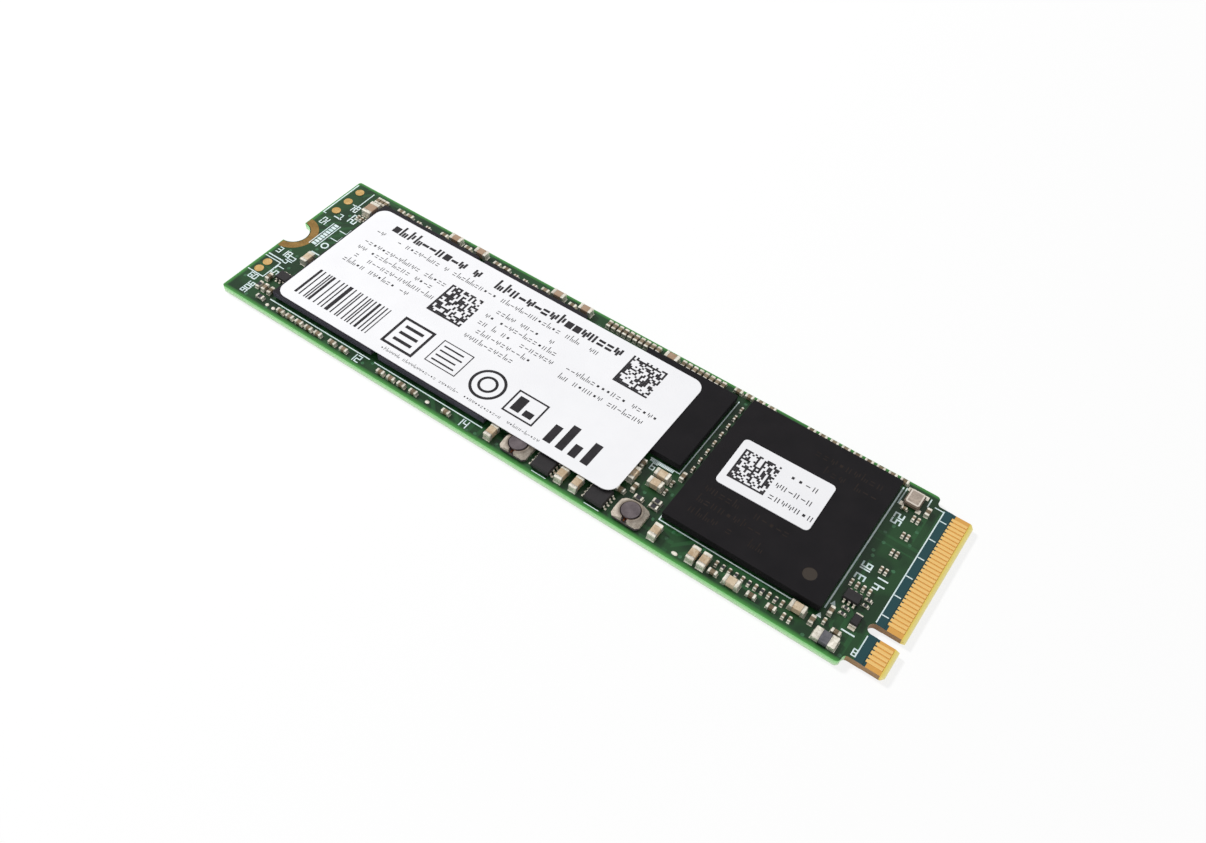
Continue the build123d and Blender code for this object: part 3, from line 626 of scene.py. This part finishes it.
def grow(name, tree, mesh, inputs):  # runs a tree once and keeps the plain mesh
    holder = addObject(name + "Points", mesh)
    modifier = holder.modifiers.new("grow", "NODES")
    modifier.node_group = tree
    for socket in tree.interface.items_tree:
        if socket.in_out == "INPUT" and socket.name in inputs:
            modifier[socket.identifier] = inputs[socket.name]
    grown = frozenMesh(holder)
    grown.name = name
    bpy.data.objects.remove(holder)
    return grown


def instanceTree():  # one prototype on every point, turned and sized by the point's own values
    add, given = startTree("setOnPoints", Prototype="Object")
    prototype = add("GeometryNodeObjectInfo", {"Object": given["Prototype"]}).outputs["Geometry"]
    turn = add("GeometryNodeInputNamedAttribute", {"Name": "turn"}, data_type="FLOAT_VECTOR")
    size = add("GeometryNodeInputNamedAttribute", {"Name": "size"}, data_type="FLOAT_VECTOR")
    placed = add("GeometryNodeInstanceOnPoints", {
        "Points": given["Geometry"], "Instance": prototype, "Rotation": turn, "Scale": size})
    tone = add("FunctionNodeRandomValue", {"Seed": given["Seed"]}, data_type="FLOAT")
    toned = add("GeometryNodeStoreNamedAttribute", {
        "Geometry": placed, "Name": "tone", "Value": tone}, data_type="FLOAT", domain="INSTANCE")
    return endTree(add, given, toned)


pointTree = instanceTree()


def setOnPoints(name, oneMesh, places, finishName, seed, turns=None, sizes=None, replaced=()):
    mesh = bpy.data.meshes.new("points")
    mesh.from_pydata([Vector(place) * mm for place in places], [], [])
    turns = turns or [(0, 0, 0)] * len(places)
    sizes = sizes or [(1, 1, 1)] * len(places)
    for key, values in (("turn", turns), ("size", sizes)):
        layer = mesh.attributes.new(key, "FLOAT_VECTOR", "POINT")
        layer.data.foreach_set("vector", [part for value in values for part in value])
    prototype = addObject(name + "One", oneMesh)
    grown = grow(name, pointTree, mesh, {"Prototype": prototype, "Finish": finish[finishName], "Seed": seed})
    bpy.data.objects.remove(prototype)
    linkPiece(name, grown, None, replaced)


def solidBoxes(node):  # lowest and highest corner of each separate solid, in mm
    shape = weldedCopy(node)
    boxes = []
    seen = set()
    for start in shape.verts:
        if start in seen:
            continue
        seen.add(start)
        queue = [start]
        low, high = start.co.copy(), start.co.copy()
        while queue:
            vert = queue.pop()
            low = Vector(map(min, low, vert.co))
            high = Vector(map(max, high, vert.co))
            for edge in vert.link_edges:
                other = edge.other_vert(vert)
                if other not in seen:
                    seen.add(other)
                    queue.append(other)
        boxes.append((low / mm, high / mm))
    shape.free()
    return boxes


# closed shapes from rings of corners, in mm

def corners(shape, points):
    return [shape.verts.new(Vector(point) * mm) for point in points]


def bridge(shape, first, second):  # faces between two rings
    count = len(first)
    for i in range(count):
        j = (i + 1) % count
        shape.faces.new((first[i], first[j], second[j], second[i]))


def circle(radius, sides):
    turns = [2 * math.pi * i / sides for i in range(sides)]
    return [(radius * math.cos(turn), radius * math.sin(turn)) for turn in turns]


def loft(name, sections):
    shape = bmesh.new()
    rings = [corners(shape, section) for section in sections]
    for first, second in zip(rings, rings[1:]):
        bridge(shape, first, second)
    shape.faces.new(rings[0])
    shape.faces.new(reversed(rings[-1]))
    bmesh.ops.recalc_face_normals(shape, faces=shape.faces)
    mesh = takeMesh(name, shape)
    for face in mesh.polygons:
        face.use_smooth = len(face.vertices) == 4
    return mesh


# two-terminal chips: body and tinned ends, set where the solids are

chipLook = dict(bodyRadius=0.09, rim=0.05, landRise=0.012, solderRise=0.62, curveSteps=5)
chipKinds = {  # toe of the solder in mm, body finish, body slot
    "large_capacitor_body": (0.12, "bariumTitanate", "capacitor_ceramic"),
    "medium_capacitors_bodies": (0.12, "bariumTitanate", "capacitor_ceramic"),
    "small_capacitors_bodies": (0.08, "bariumTitanateSmall", "capacitor_ceramic"),
    "tiny_capacitors_bodies": (0.1, "bariumTitanateSmall", "capacitor_ceramic"),
    "small_resistors_bodies": (0.08, "thickFilmChip", "resistor_glaze"),
    "tiny_resistors_bodies": (0.1, "thickFilmChip", "resistor_glaze"),
    "fuse_body": (0.12, "glazedCeramic", "fuse_ceramic"),
}


def terminalMesh(name, along, width, height, toe, look):
    # x runs outwards from the body; the cap has a rounded rim and the solder falls from it in a hollow curve
    rim = min(look["rim"], height / 4)
    end = along - toe
    shares = [i / (look["curveSteps"] - 1) for i in range(look["curveSteps"])]
    profile = [(0, 0), (0, height)]
    for share in shares:
        angle = share * quarter
        profile.append((end - rim + rim * math.sin(angle), height - rim + rim * math.cos(angle)))
    for fall in shares:
        profile.append((end + toe * fall, look["solderRise"] * height * (1 - fall) ** 2 + look["landRise"]))
    profile.append((along, 0))
    sections = []
    for side, inset in ((-1, rim), (-1 + rim / width, rim / 4), (-1 + 3 * rim / width, 0),
                        (1 - 3 * rim / width, 0), (1 - rim / width, rim / 4), (1, rim)):
        ring = []
        for x, z in profile:
            drop = inset if z > height / 2 else 0
            pull = inset if x > end / 2 and z > 0 else 0
            ring.append((x - pull, side * width / 2, z - drop))
        sections.append(ring)
    return loft(name, sections)


def roundedBox(name, radius):  # one unit each way, sized by the point it is set on
    shape = bmesh.new()
    bmesh.ops.create_cube(shape, size=1.0)
    return roundEdges(name, shape, radius / mm)


for number, (bodyNode, (toe, bodyFinish, bodySlot)) in enumerate(chipKinds.items()):
    bodies = solidBoxes(bodyNode)
    middles = [(low + high) / 2 for low, high in bodies]
    spans = [(high - low) * mm for low, high in bodies]
    name = camelName(bodyNode)
    setOnPoints(name, roundedBox(name, chipLook["bodyRadius"]), middles, bodyFinish, number, sizes=spans,
                replaced=[bodyNode])
    endNode = bodyNode.rsplit("_", 1)[0] + "_terminals"
    places, turns = [], []
    for low, high in solidBoxes(endNode):
        middle = (low + high) / 2
        home = min(middles, key=lambda m: (m - middle).length)
        along, width = sorted((high.x - low.x, high.y - low.y))  # an end is wider than it is long
        outward = (middle - home).to_2d()
        angle = round(math.atan2(outward.y, outward.x) / quarter) * quarter
        inner = middle - Vector((math.cos(angle), math.sin(angle), 0)) * along / 2
        places.append((inner.x, inner.y, low.z))
        turns.append((0, 0, angle))
    name = camelName(endNode)
    cap = terminalMesh(name, along, width, high.z - low.z, toe, chipLook)
    setOnPoints(name, cap, places, "matteTin", number, turns, replaced=[endNode])
print("chips are set")


# solder balls between the packages and the card

ballBulge = 1.12


def ballMesh():
    shape = bmesh.new()
    bmesh.ops.create_icosphere(shape, subdivisions=2, radius=0.5)
    mesh = takeMesh("ball", shape)
    for face in mesh.polygons:
        face.use_smooth = True
    return mesh


for number, package in enumerate(("flash_1", "flash_2", "dram", "controller")):
    node = package + "_solder_balls"
    boxes = solidBoxes(node)
    middles = [(low + high) / 2 for low, high in boxes]
    sizes = [(high - low) * ballBulge * mm for low, high in boxes]
    setOnPoints(camelName(node), ballMesh(), middles, "solderAlloy", number, sizes=sizes,
                replaced=[node])
print("solder balls are set")


# plated holes under the mask, and a few bare pads with a drop of solder

viaLook = dict(
    radius=0.21, sides=10,
    profile=((1.0, -0.004), (0.9, 0.008), (0.5, 0.008), (0.3, 0.002)),  # share of the radius, height
    left=-39.2, right=36.4, near=-10.4, far=10.4, step=1.1, jitter=0.3, clear=0.32,
    screwX=-40, screwClear=3.2, topShare=0.5, lowShare=0.28, seed=17)
dropLook = dict(
    width=0.46, height=0.2,
    places=((18.35, -10.2, 0.72), (-34.0, -10.2, 0.5), (-33.1, -10.2, 0.5),  # x, y, length
            (-11.6, -10.15, 0.56)))


def viaPlaces(look):  # a loose grid, kept clear of the parts, the screw pads and the tongue
    draw = random.Random(look["seed"])
    clear, jitter = look["clear"], look["jitter"]
    taken = []
    for node in cadNodes:
        if node not in ("circuit_board", "top_contacts", "bottom_contacts", "screw_pads"):
            taken.extend(solidBoxes(node))
    tops, lows = [], []
    x = look["left"]
    while x < look["right"]:
        y = look["near"]
        while y < look["far"]:
            px = x + draw.uniform(-jitter, jitter)
            py = y + draw.uniform(-jitter, jitter)
            chance = draw.random()
            y += look["step"]
            if math.hypot(px - look["screwX"], py) < look["screwClear"]:
                continue
            covered = any(low.x - clear < px < high.x + clear and low.y - clear < py < high.y + clear
                          for low, high in taken)
            if not covered and chance < look["topShare"]:
                tops.append((px, py, boardTop))
            if chance > 1 - look["lowShare"]:
                lows.append((px, py, 0.0))
        x += look["step"]
    return tops, lows


tops, lows = viaPlaces(viaLook)
via = loft("via", [[(x, y, z) for x, y in circle(viaLook["radius"] * share, viaLook["sides"])]
                   for share, z in viaLook["profile"]])
setOnPoints("tentedVias", via, tops + lows, "tentedMask", seed=2,
            turns=[(0, 0, 0)] * len(tops) + [(math.pi, 0, 0)] * len(lows))
drops = [(x, y, boardTop) for x, y, length in dropLook["places"]]
sizes = [Vector((length, dropLook["width"], dropLook["height"])) * mm for x, y, length in dropLook["places"]]
setOnPoints("solderDrops", ballMesh(), drops, "matteTin", seed=3, sizes=sizes)
print("holes and bare pads are set:", len(tops), len(lows))


# finishes on the solids that stay as they are

keptFinishes = {
    "circuit_board": "solderMaskBoard",
    "top_contacts": "hardGold",
    "bottom_contacts": "hardGold",
    "screw_pads": "immersionGold",
    "header_pads": "headerGold",
    "main_label": "coatedPaper",
    "controller_label": "coatedPaper",
    "inductor_1_winding": "enamelledCopper",
    "inductor_2_winding": "enamelledCopper",
    "crystal_pads": "matteTin",
}
for node, finishName in keptFinishes.items():
    materials = cadNodes[node].data.materials
    if not materials:
        materials.append(finish[finishName])
    for index in range(len(materials)):
        materials[index] = finish[finishName]
print("solids are finished")


# thin closed blocks for ink, between the heights z0 and z1

def addBar(shape, x0, x1, y0, y1, z0, z1):
    place = Vector((x0 + x1, y0 + y1, z0 + z1)) / 2 * mm
    size = Vector((x1 - x0, y1 - y0, z1 - z0)) * mm
    bmesh.ops.create_cube(shape, size=1.0, matrix=Matrix.Translation(place) @ Matrix.Diagonal(size).to_4x4())


def addPrism(shape, points, z0, z1):
    low, high = (corners(shape, [(x, y, z) for x, y in points]) for z in (z0, z1))
    bridge(shape, low, high)
    shape.faces.new(reversed(low))
    shape.faces.new(high)


def addRing(shape, x, y, outer, inner, z0, z1, sides=48):
    rings = [corners(shape, [(x + dx, y + dy, z) for dx, dy in circle(radius, sides)])
             for radius, z in ((outer, z0), (outer, z1), (inner, z1), (inner, z0))]
    for first, second in zip(rings, rings[1:] + rings[:1]):
        bridge(shape, first, second)


def addFrame(shape, x0, x1, y0, y1, line, z0, z1):  # four bars that make an outlined box
    addBar(shape, x0, x1, y0, y0 + line, z0, z1)
    addBar(shape, x0, x1, y1 - line, y1, z0, z1)
    addBar(shape, x0, x0 + line, y0 + line, y1 - line, z0, z1)
    addBar(shape, x1 - line, x1, y0 + line, y1 - line, z0, z1)


def inkMesh(name, shape):
    bmesh.ops.recalc_face_normals(shape, faces=shape.faces)
    return takeMesh(name, shape)


# white ink on the card: outlines, ticks and plain numbers

silk = dict(
    thin=0.08, line=0.12, thick=0.16, boldHeight=0.85, z0=boardTop - 0.004, z1=boardTop + 0.014,
    layer=0.0006, layers=7,  # tops a hair apart, so that crossing strokes share no plane
    clear=0.22, over=0.1,  # gap beside a package, and how far a line runs past its corner
    flashGap=0.4, nearRun=14.3, nearHook=0.5, sideFrom=0.9, regulatorInset=0.35, regulatorGap=0.2,
    arrow=((0, 0), (0.55, 0), (0.25, 0.55)), arrows=((0.4, 1.5), (-0.1, -0.35)),  # by the pin-one corner
    dramRun=3.1, dramSide=0.2,
    combFrom=3.0, combBars=15, combPitch=0.18, combWidth=0.15, combEnds=(0.36, 0.03),
    ruleGap=0.95, rules=((9.6, -5.3), (-7.1, -9.6)), ruleHook=0.9, ruleHookY=9.55,
    tickGap=0.15, tickLength=0.55, tickPitch=2.54, tickCount=6, firstTick=8.4,
    chipLines=((34.7, -7.85, 35.9, -7.85, "thick"), (35.3, 9.2, 35.3, 10.2), (32.75, 7.9, 32.75, 10.0)),
    headerLines=(
        (-39.7, -4.7, -37.5, -4.7), (-37.5, -4.7, -37.5, -7.4), (-37.5, -7.4, -39.7, -7.4),
        (-37.2, 7.5, -37.2, 10.3), (-37.2, 7.5, -37.9, 7.5), (-39.75, 4.5, -39.75, 10.4, "thick"),
        (-39.75, 4.5, -39.4, 4.5), (-39.6, -4.3, -37.6, -4.3, "thick")),
    numbers=(  # figures, x, y, height, turned by a quarter
        ("52", 34.0, 5.5, 0.9, True), ("316", 34.0, -2.2, 0.9, True), ("41", 35.9, -2.25, 0.9, True),
        ("8", 36.5, -9.6, 0.7, False), ("12", -22.0, -10.5, 0.85, False), ("14", -7.7, -10.5, 0.85, False),
        ("6", 11.0, -3.4, 0.8, False), ("1", -37.3, 4.2, 0.9, True), ("23", -35.6, 5.0, 0.9, True),
        ("40", -36.6, -4.4, 0.85, True), ("57", -36.6, -6.3, 0.8, True), ("318", -39.3, -3.6, 0.8, False),
        ("906", -37.3, -10.3, 0.7, True), ("26", -36.8, 6.6, 0.7, True), ("52", -38.2, 2.9, 0.75, True),
        ("7", -37.9, 4.6, 0.8, False), ("60", -38.9, -8.3, 0.7, False)),
    tallyLines=((-37.4, -0.3, -37.4, 3.7), (-36.4, -0.3, -36.4, 3.7)),
    tallyBar=(-37.2, -36.6, -0.2, 0.14), tallyPitch=0.45, tallyBars=9,
    labelLines=((-36.0, 1.7, -35.0, 1.7), (-35.0, 1.7, -35.0, 2.5), (-36.0, 3.2, -35.0, 3.2),
                (-35.0, 3.2, -35.0, 4.0), (-36.1, -1.2, -35.1, -1.2, "thick")),
    ring=(-35.65, 0.35, 0.48, 0.3), ringSides=24)
segments = {  # strokes of a plain numeral on a cell one unit high and 0.55 wide
    "a": (0, 1, 0.55, 1), "b": (0.55, 0.5, 0.55, 1), "c": (0.55, 0, 0.55, 0.5), "d": (0, 0, 0.55, 0),
    "e": (0, 0, 0, 0.5), "f": (0, 0.5, 0, 1), "g": (0, 0.5, 0.55, 0.5)}
numerals = {"0": "abcdef", "1": "bc", "2": "abged", "3": "abgcd", "4": "fgbc", "5": "afgcd", "6": "afgecd",
            "7": "abc", "8": "abcdefg", "9": "abcdfg"}
numeralPitch = 0.85  # from one numeral to the next, on the same cell


def silkPrint(look):
    shape = bmesh.new()
    z0, z1, clear, over = (look[key] for key in ("z0", "z1", "clear", "over"))
    laid = []

    def stroke(x0, y0, x1, y1, width="line"):  # along X or Y
        half = look[width] / 2
        top = z1 + len(laid) % look["layers"] * look["layer"]
        addBar(shape, min(x0, x1) - half, max(x0, x1) + half, min(y0, y1) - half, max(y0, y1) + half, z0, top)
        laid.append(width)

    for node in ("flash_package_1", "flash_package_2"):
        low, high = boxMillimetres(node)
        stroke(low.x - over, low.y - look["flashGap"], high.x + over, low.y - look["flashGap"])
    low, high = boxMillimetres("controller_package")
    stroke(low.x - over, low.y - clear, low.x + look["nearRun"], low.y - clear)
    stroke(low.x - over, low.y - clear, low.x - over, low.y + look["nearHook"])
    stroke(high.x + clear, low.y + look["sideFrom"], high.x + clear, high.y + over, "thick")
    for x, y in look["arrows"]:
        addPrism(shape, [(high.x + x + dx, low.y + y + dy) for dx, dy in look["arrow"]], z0, z1)
    low, high = boxMillimetres("dram_package")
    near = low.y - clear
    side = high.x + look["dramSide"]
    stroke(high.x - look["dramRun"], near, side, near)
    out, back = look["combEnds"]
    for i in range(look["combBars"]):  # a comb that thickens the near outline
        x = high.x - look["combFrom"] + look["combPitch"] * i
        addBar(shape, x - look["combWidth"] / 2, x + look["combWidth"] / 2, near - out, near - back, z0, z1)
    stroke(side, near, side, high.y + over)
    # connector: a rule across the card with ticks towards the contacts
    rule = boxMillimetres("top_contacts")[0].x - look["ruleGap"]
    for y0, y1 in look["rules"]:
        stroke(rule, y0, rule, y1)
    stroke(rule - look["ruleHook"], look["ruleHookY"], rule, look["ruleHookY"])
    for i in range(look["tickCount"]):
        y = look["firstTick"] - look["tickPitch"] * i
        stroke(rule + look["tickGap"], y, rule + look["tickGap"] + look["tickLength"], y)
    for line in look["chipLines"]:
        stroke(*line)
    gap = look["regulatorGap"]
    for node in ("regulator_1_body", "regulator_2_body"):
        low, high = boxMillimetres(node)
        stroke(low.x + look["regulatorInset"], low.y - gap, high.x - gap, low.y - gap, "thin")
    for line in look["headerLines"]:
        stroke(*line)
    for text, x, y, height, turned in look["numbers"]:
        width = "thick" if height > look["boldHeight"] else "line"
        for number, digit in enumerate(text):
            shift = number * height * numeralPitch
            for key in numerals[digit]:
                u0, v0, u1, v1 = (value * height for value in segments[key])
                u0, u1 = u0 + shift, u1 + shift
                ends = (x - v0, y + u0, x - v1, y + u1) if turned else (x + u0, y + v0, x + u1, y + v1)
                stroke(*ends, width)
    # a strip of tally blocks beside the screw pad, and larger signs by the label
    for line in look["tallyLines"]:
        stroke(*line)
    x0, x1, y0, y1 = look["tallyBar"]
    for i in range(look["tallyBars"]):
        rise = look["tallyPitch"] * i
        addBar(shape, x0, x1, y0 + rise, y1 + rise, z0, z1)
    for line in look["labelLines"]:
        stroke(*line)
    addRing(shape, *look["ring"], z0, z1, look["ringSides"])
    return inkMesh("silkPrint", shape)


linkPiece("silkPrint", silkPrint(silk), finish["epoxyInk"])
print("silk print is laid")


# print on the labels: rows of marks that only have the rhythm of text, cell blocks, bars and plain figures

def rowTree():
    add, given = startTree(
        "rowsOfMarks", Marks="Collection", Pitch="Float", Height="Float", Filled="Float", Kinds="Int")
    line = add("GeometryNodeMeshToCurve", (given["Geometry"],))
    places = add("GeometryNodeResampleCurve", {"Curve": line, "Length": given["Pitch"]}, mode="LENGTH")
    marks = add("GeometryNodeCollectionInfo", {
        "Collection": given["Marks"], "Separate Children": True, "Reset Children": True})
    kept = add("FunctionNodeRandomValue", {
        "Probability": given["Filled"], "Seed": given["Seed"]}, data_type="BOOLEAN")
    pick = add("FunctionNodeRandomValue", {4: 0, 5: given["Kinds"], "Seed": given["Seed"]}, data_type="INT")
    size = add("ShaderNodeCombineXYZ", (given["Height"], given["Height"], 1.0))
    placed = add("GeometryNodeInstanceOnPoints", {
        "Points": places, "Selection": kept, "Instance": marks, "Pick Instance": True, "Instance Index": pick,
        "Scale": size})
    return endTree(add, given, placed)


def cellTree():  # two edges of the block are full, the other cells are drawn by lot
    add, given = startTree(
        "blockOfCells", Cells="Int", Cell="Float", Cover="Float", Thickness="Float", Centre="Vector",
        Turn="Vector", Filled="Float")
    cells, cell = given["Cells"], given["Cell"]
    gaps = add("ShaderNodeMath", (cells, 1.0), operation="SUBTRACT")
    side = add("ShaderNodeMath", (gaps, cell), operation="MULTIPLY")
    grid = add("GeometryNodeMeshGrid", {
        "Size X": side, "Size Y": side, "Vertices X": cells, "Vertices Y": cells})
    drawn = add("FunctionNodeRandomValue", {
        "Probability": given["Filled"], "Seed": given["Seed"]}, data_type="BOOLEAN")
    index = add("GeometryNodeInputIndex")
    column = add("ShaderNodeMath", (index, cells), operation="LESS_THAN")
    row = add("ShaderNodeMath", (index, cells), operation="MODULO")
    row = add("ShaderNodeMath", (row, 0.5), operation="LESS_THAN")
    border = add("ShaderNodeMath", (column, row), operation="ADD")
    kept = add("ShaderNodeMath", (border, drawn), operation="ADD")
    width = add("ShaderNodeMath", (cell, given["Cover"]), operation="MULTIPLY")
    size = add("ShaderNodeCombineXYZ", (width, width, given["Thickness"]))
    cube = add("GeometryNodeMeshCube", {"Size": size})
    placed = add("GeometryNodeInstanceOnPoints", {"Points": grid, "Selection": kept, "Instance": cube})
    moved = add("GeometryNodeTransform", {
        "Geometry": placed, "Translation": given["Centre"], "Rotation": given["Turn"]})
    return endTree(add, given, moved)


marksTree = rowTree()
blockTree = cellTree()
ink = dict(thickness=0.012, sink=0.003, pitch=0.72, filled=0.86, cellCover=0.96, cellFilled=0.52)
markWeights = dict(thin=0.7, bold=1.45)  # how much the strokes of a row are thickened
markShapes = (  # ticks, dashes and blocks of each mark on a cell one unit high: x0, x1, y0, y1
    ((0.0, 0.13, 0.0, 0.7), (0.32, 0.45, 0.0, 0.7)),
    ((0.0, 0.13, 0.0, 1.0), (0.25, 0.38, 0.0, 0.45), (0.48, 0.6, 0.0, 0.45)),
    ((0.0, 0.5, 0.05, 0.2), (0.0, 0.5, 0.42, 0.57)),
    ((0.05, 0.47, 0.12, 0.58),),
    ((0.0, 0.13, 0.2, 0.7), (0.22, 0.35, 0.0, 0.5), (0.44, 0.57, 0.2, 0.7)),
    ((0.0, 0.54, 0.26, 0.42),),
    ((0.08, 0.21, 0.0, 1.0), (0.34, 0.47, 0.25, 0.7)),
)


def markCollection(name, weight):
    collection = bpy.data.collections.new(name)
    scene.collection.children.link(collection)
    top = ink["thickness"] - ink["sink"]
    for number, strokes in enumerate(markShapes):
        shape = bmesh.new()
        for x0, x1, y0, y1 in strokes:
            swell = (weight - 1) * min(x1 - x0, y1 - y0) / 2
            x0, x1, y0, y1 = x0 - swell, x1 + swell, y0 - swell, y1 + swell
            points = ((x0, y0), (x1, y0), (x1, y1), (x0, y1))
            addPrism(shape, [(x / mm, y / mm) for x, y in points], -ink["sink"], top)
        mark = bpy.data.objects.new(f"{name}{number}", inkMesh(f"{name}{number}", shape))
        collection.objects.link(mark)
    return collection


marks = {key: markCollection(key + "Mark", weight) for key, weight in markWeights.items()}


def printRows(name, z, look):
    mesh = bpy.data.meshes.new("lines")
    ends = [(x, y, z) for x0, x1, y in look["rows"] for x in (x0, x1)]
    mesh.from_pydata([Vector(end) * mm for end in ends], [(i, i + 1) for i in range(0, len(ends), 2)], [])
    linkPiece(name, grow(name, marksTree, mesh, {
        "Marks": marks[look.get("weight", "thin")], "Pitch": look["height"] * ink["pitch"] * mm,
        "Height": look["height"] * mm, "Filled": look.get("filled", ink["filled"]),
        "Kinds": len(markShapes) - 1, "Finish": finish[look.get("finish", "thermalInk")],
        "Seed": look["seed"]}))


def printCells(name, z, x, y, cell, count, seed, turn=0.0):
    middle = z + ink["thickness"] / 2 - ink["sink"]
    linkPiece(name, grow(name, blockTree, bpy.data.meshes.new("none"), {
        "Cells": count, "Cell": cell * mm, "Cover": ink["cellCover"], "Thickness": ink["thickness"] * mm,
        "Centre": (x * mm, y * mm, middle * mm), "Turn": (0.0, 0.0, turn), "Filled": ink["cellFilled"],
        "Finish": finish["thermalInk"], "Seed": seed}))


# the main label

mainRows = {
    "labelTitle": dict(rows=((-31.6, 0.0, 6.05),), height=1.45, weight="bold", filled=0.9, seed=3),
    "labelRows": dict(height=0.85, seed=8, rows=(
        (-31.8, -1.6, 4.75), (-31.8, -20.6, 2.75), (-31.8, -21.6, 1.6), (-31.8, -20.4, 0.4),
        (-31.8, -23.0, -0.8), (-13.9, -5.6, 3.1), (-13.9, -5.0, 1.95), (-13.9, -4.6, 0.75),
        (-13.9, -6.6, -0.45), (-13.9, -8.0, -1.65), (-2.6, 8.2, 1.1), (-2.6, 7.2, -0.2))),
    "labelTinyRows": dict(rows=((-19.6, -9.6, -8.15), (-8.6, 0.6, -8.15)), height=0.5, seed=9),
}
mainCells = ((-17.3, 1.4, 0.255, 18, 11), (4.15, 5.15, 0.235, 18, 12))  # x, y, cell, count, seed
figures = dict(  # the row of plain figures along the near edge
    strip=(-32.4, -22.2, -7.6, -3.4), widths=(0.16, 0.16, 0.32, 0.48), gaps=(0.16, 0.32, 0.32, 0.48), seed=5,
    frames=((-20.4, -16.2, -7.3, -3.1, 0.32), (-15.0, -11.0, -6.6, -3.2, 0.12),
            (-4.6, -0.8, -7.0, -3.8, 0.2)),
    rings=((-7.6, -5.3, 2.0, 1.68), (-7.6, -5.3, 1.1, 0.8)),
    bars=((-19.5, -17.1, -6.4, -6.0), (-19.5, -17.1, -5.4, -5.0), (-19.5, -17.1, -4.4, -4.0),
          (-14.5, -11.6, -6.1, -5.9), (-14.5, -11.9, -5.4, -5.2), (-14.5, -11.6, -4.7, -4.5),
          (-14.5, -11.9, -4.0, -3.8), (-4.0, -2.9, -6.4, -4.4), (-2.5, -1.4, -6.4, -5.6),
          (1.0, 1.9, -7.6, -5.2), (2.5, 3.4, -7.6, -4.2), (4.0, 4.9, -7.6, -6.0), (5.5, 6.4, -7.6, -4.7)))


def figureMesh(name, z0, z1, look):
    shape = bmesh.new()
    draw = random.Random(look["seed"])
    x, end, near, far = look["strip"]
    while x < end:
        width = draw.choice(look["widths"])
        addBar(shape, x, min(x + width, end), near, far, z0, z1)
        x += width + draw.choice(look["gaps"])
    for add, shapes in ((addFrame, "frames"), (addBar, "bars"), (addRing, "rings")):
        for sizes in look[shapes]:
            add(shape, *sizes, z0, z1)
    return inkMesh(name, shape)


labelTop = boxMillimetres("main_label")[1].z
for name, look in mainRows.items():
    printRows(name, labelTop, look)
for number, cells in enumerate(mainCells, 1):
    printCells(f"labelCells{number}", labelTop, *cells)
inkLow = labelTop - ink["sink"]
linkPiece("labelFigures", figureMesh("labelFigures", inkLow, inkLow + ink["thickness"], figures),
          finish["thermalInk"])


# the controller's label, stuck on a little askew, and the laser rows on the bare part of its package

chipPrint = dict(
    tilt=1.2, cells=(-2.4, -0.05, 0.225, 18, 21), height=0.95, seed=15,
    rows=((0.0, 3.3, 1.25), (0.05, 3.5, -0.45), (0.1, 4.4, -2.0)))  # from the label's middle
laserPrint = dict(
    depth=0.007, height=1.05, filled=0.9, finish="laserMarkedEpoxy", seed=31,
    rows=((17.0, 25.6, -3.1), (17.0, 23.4, -4.6), (17.0, 24.4, -6.1), (23.6, 30.4, 7.2), (25.2, 30.4, 5.7)))
low, high = boxMillimetres("controller_label")
middle = (low + high) / 2
tilt = math.radians(chipPrint["tilt"])
rows = []
for x0, x1, y in chipPrint["rows"]:
    lean = y * math.sin(tilt)
    rows.append((middle.x + x0 - lean, middle.x + x1 - lean, middle.y + y))
printRows("chipLabelRows", high.z, dict(chipPrint, rows=rows))
x, y, *cells = chipPrint["cells"]
printCells("chipLabelCells", high.z, middle.x + x, middle.y + y, *cells, tilt)
printRows("laserRows", boxMillimetres("controller_package")[1].z - laserPrint["depth"], laserPrint)
for collection in marks.values():
    for mark in list(collection.objects):
        bpy.data.objects.remove(mark)
    bpy.data.collections.remove(collection)
print("labels are printed")
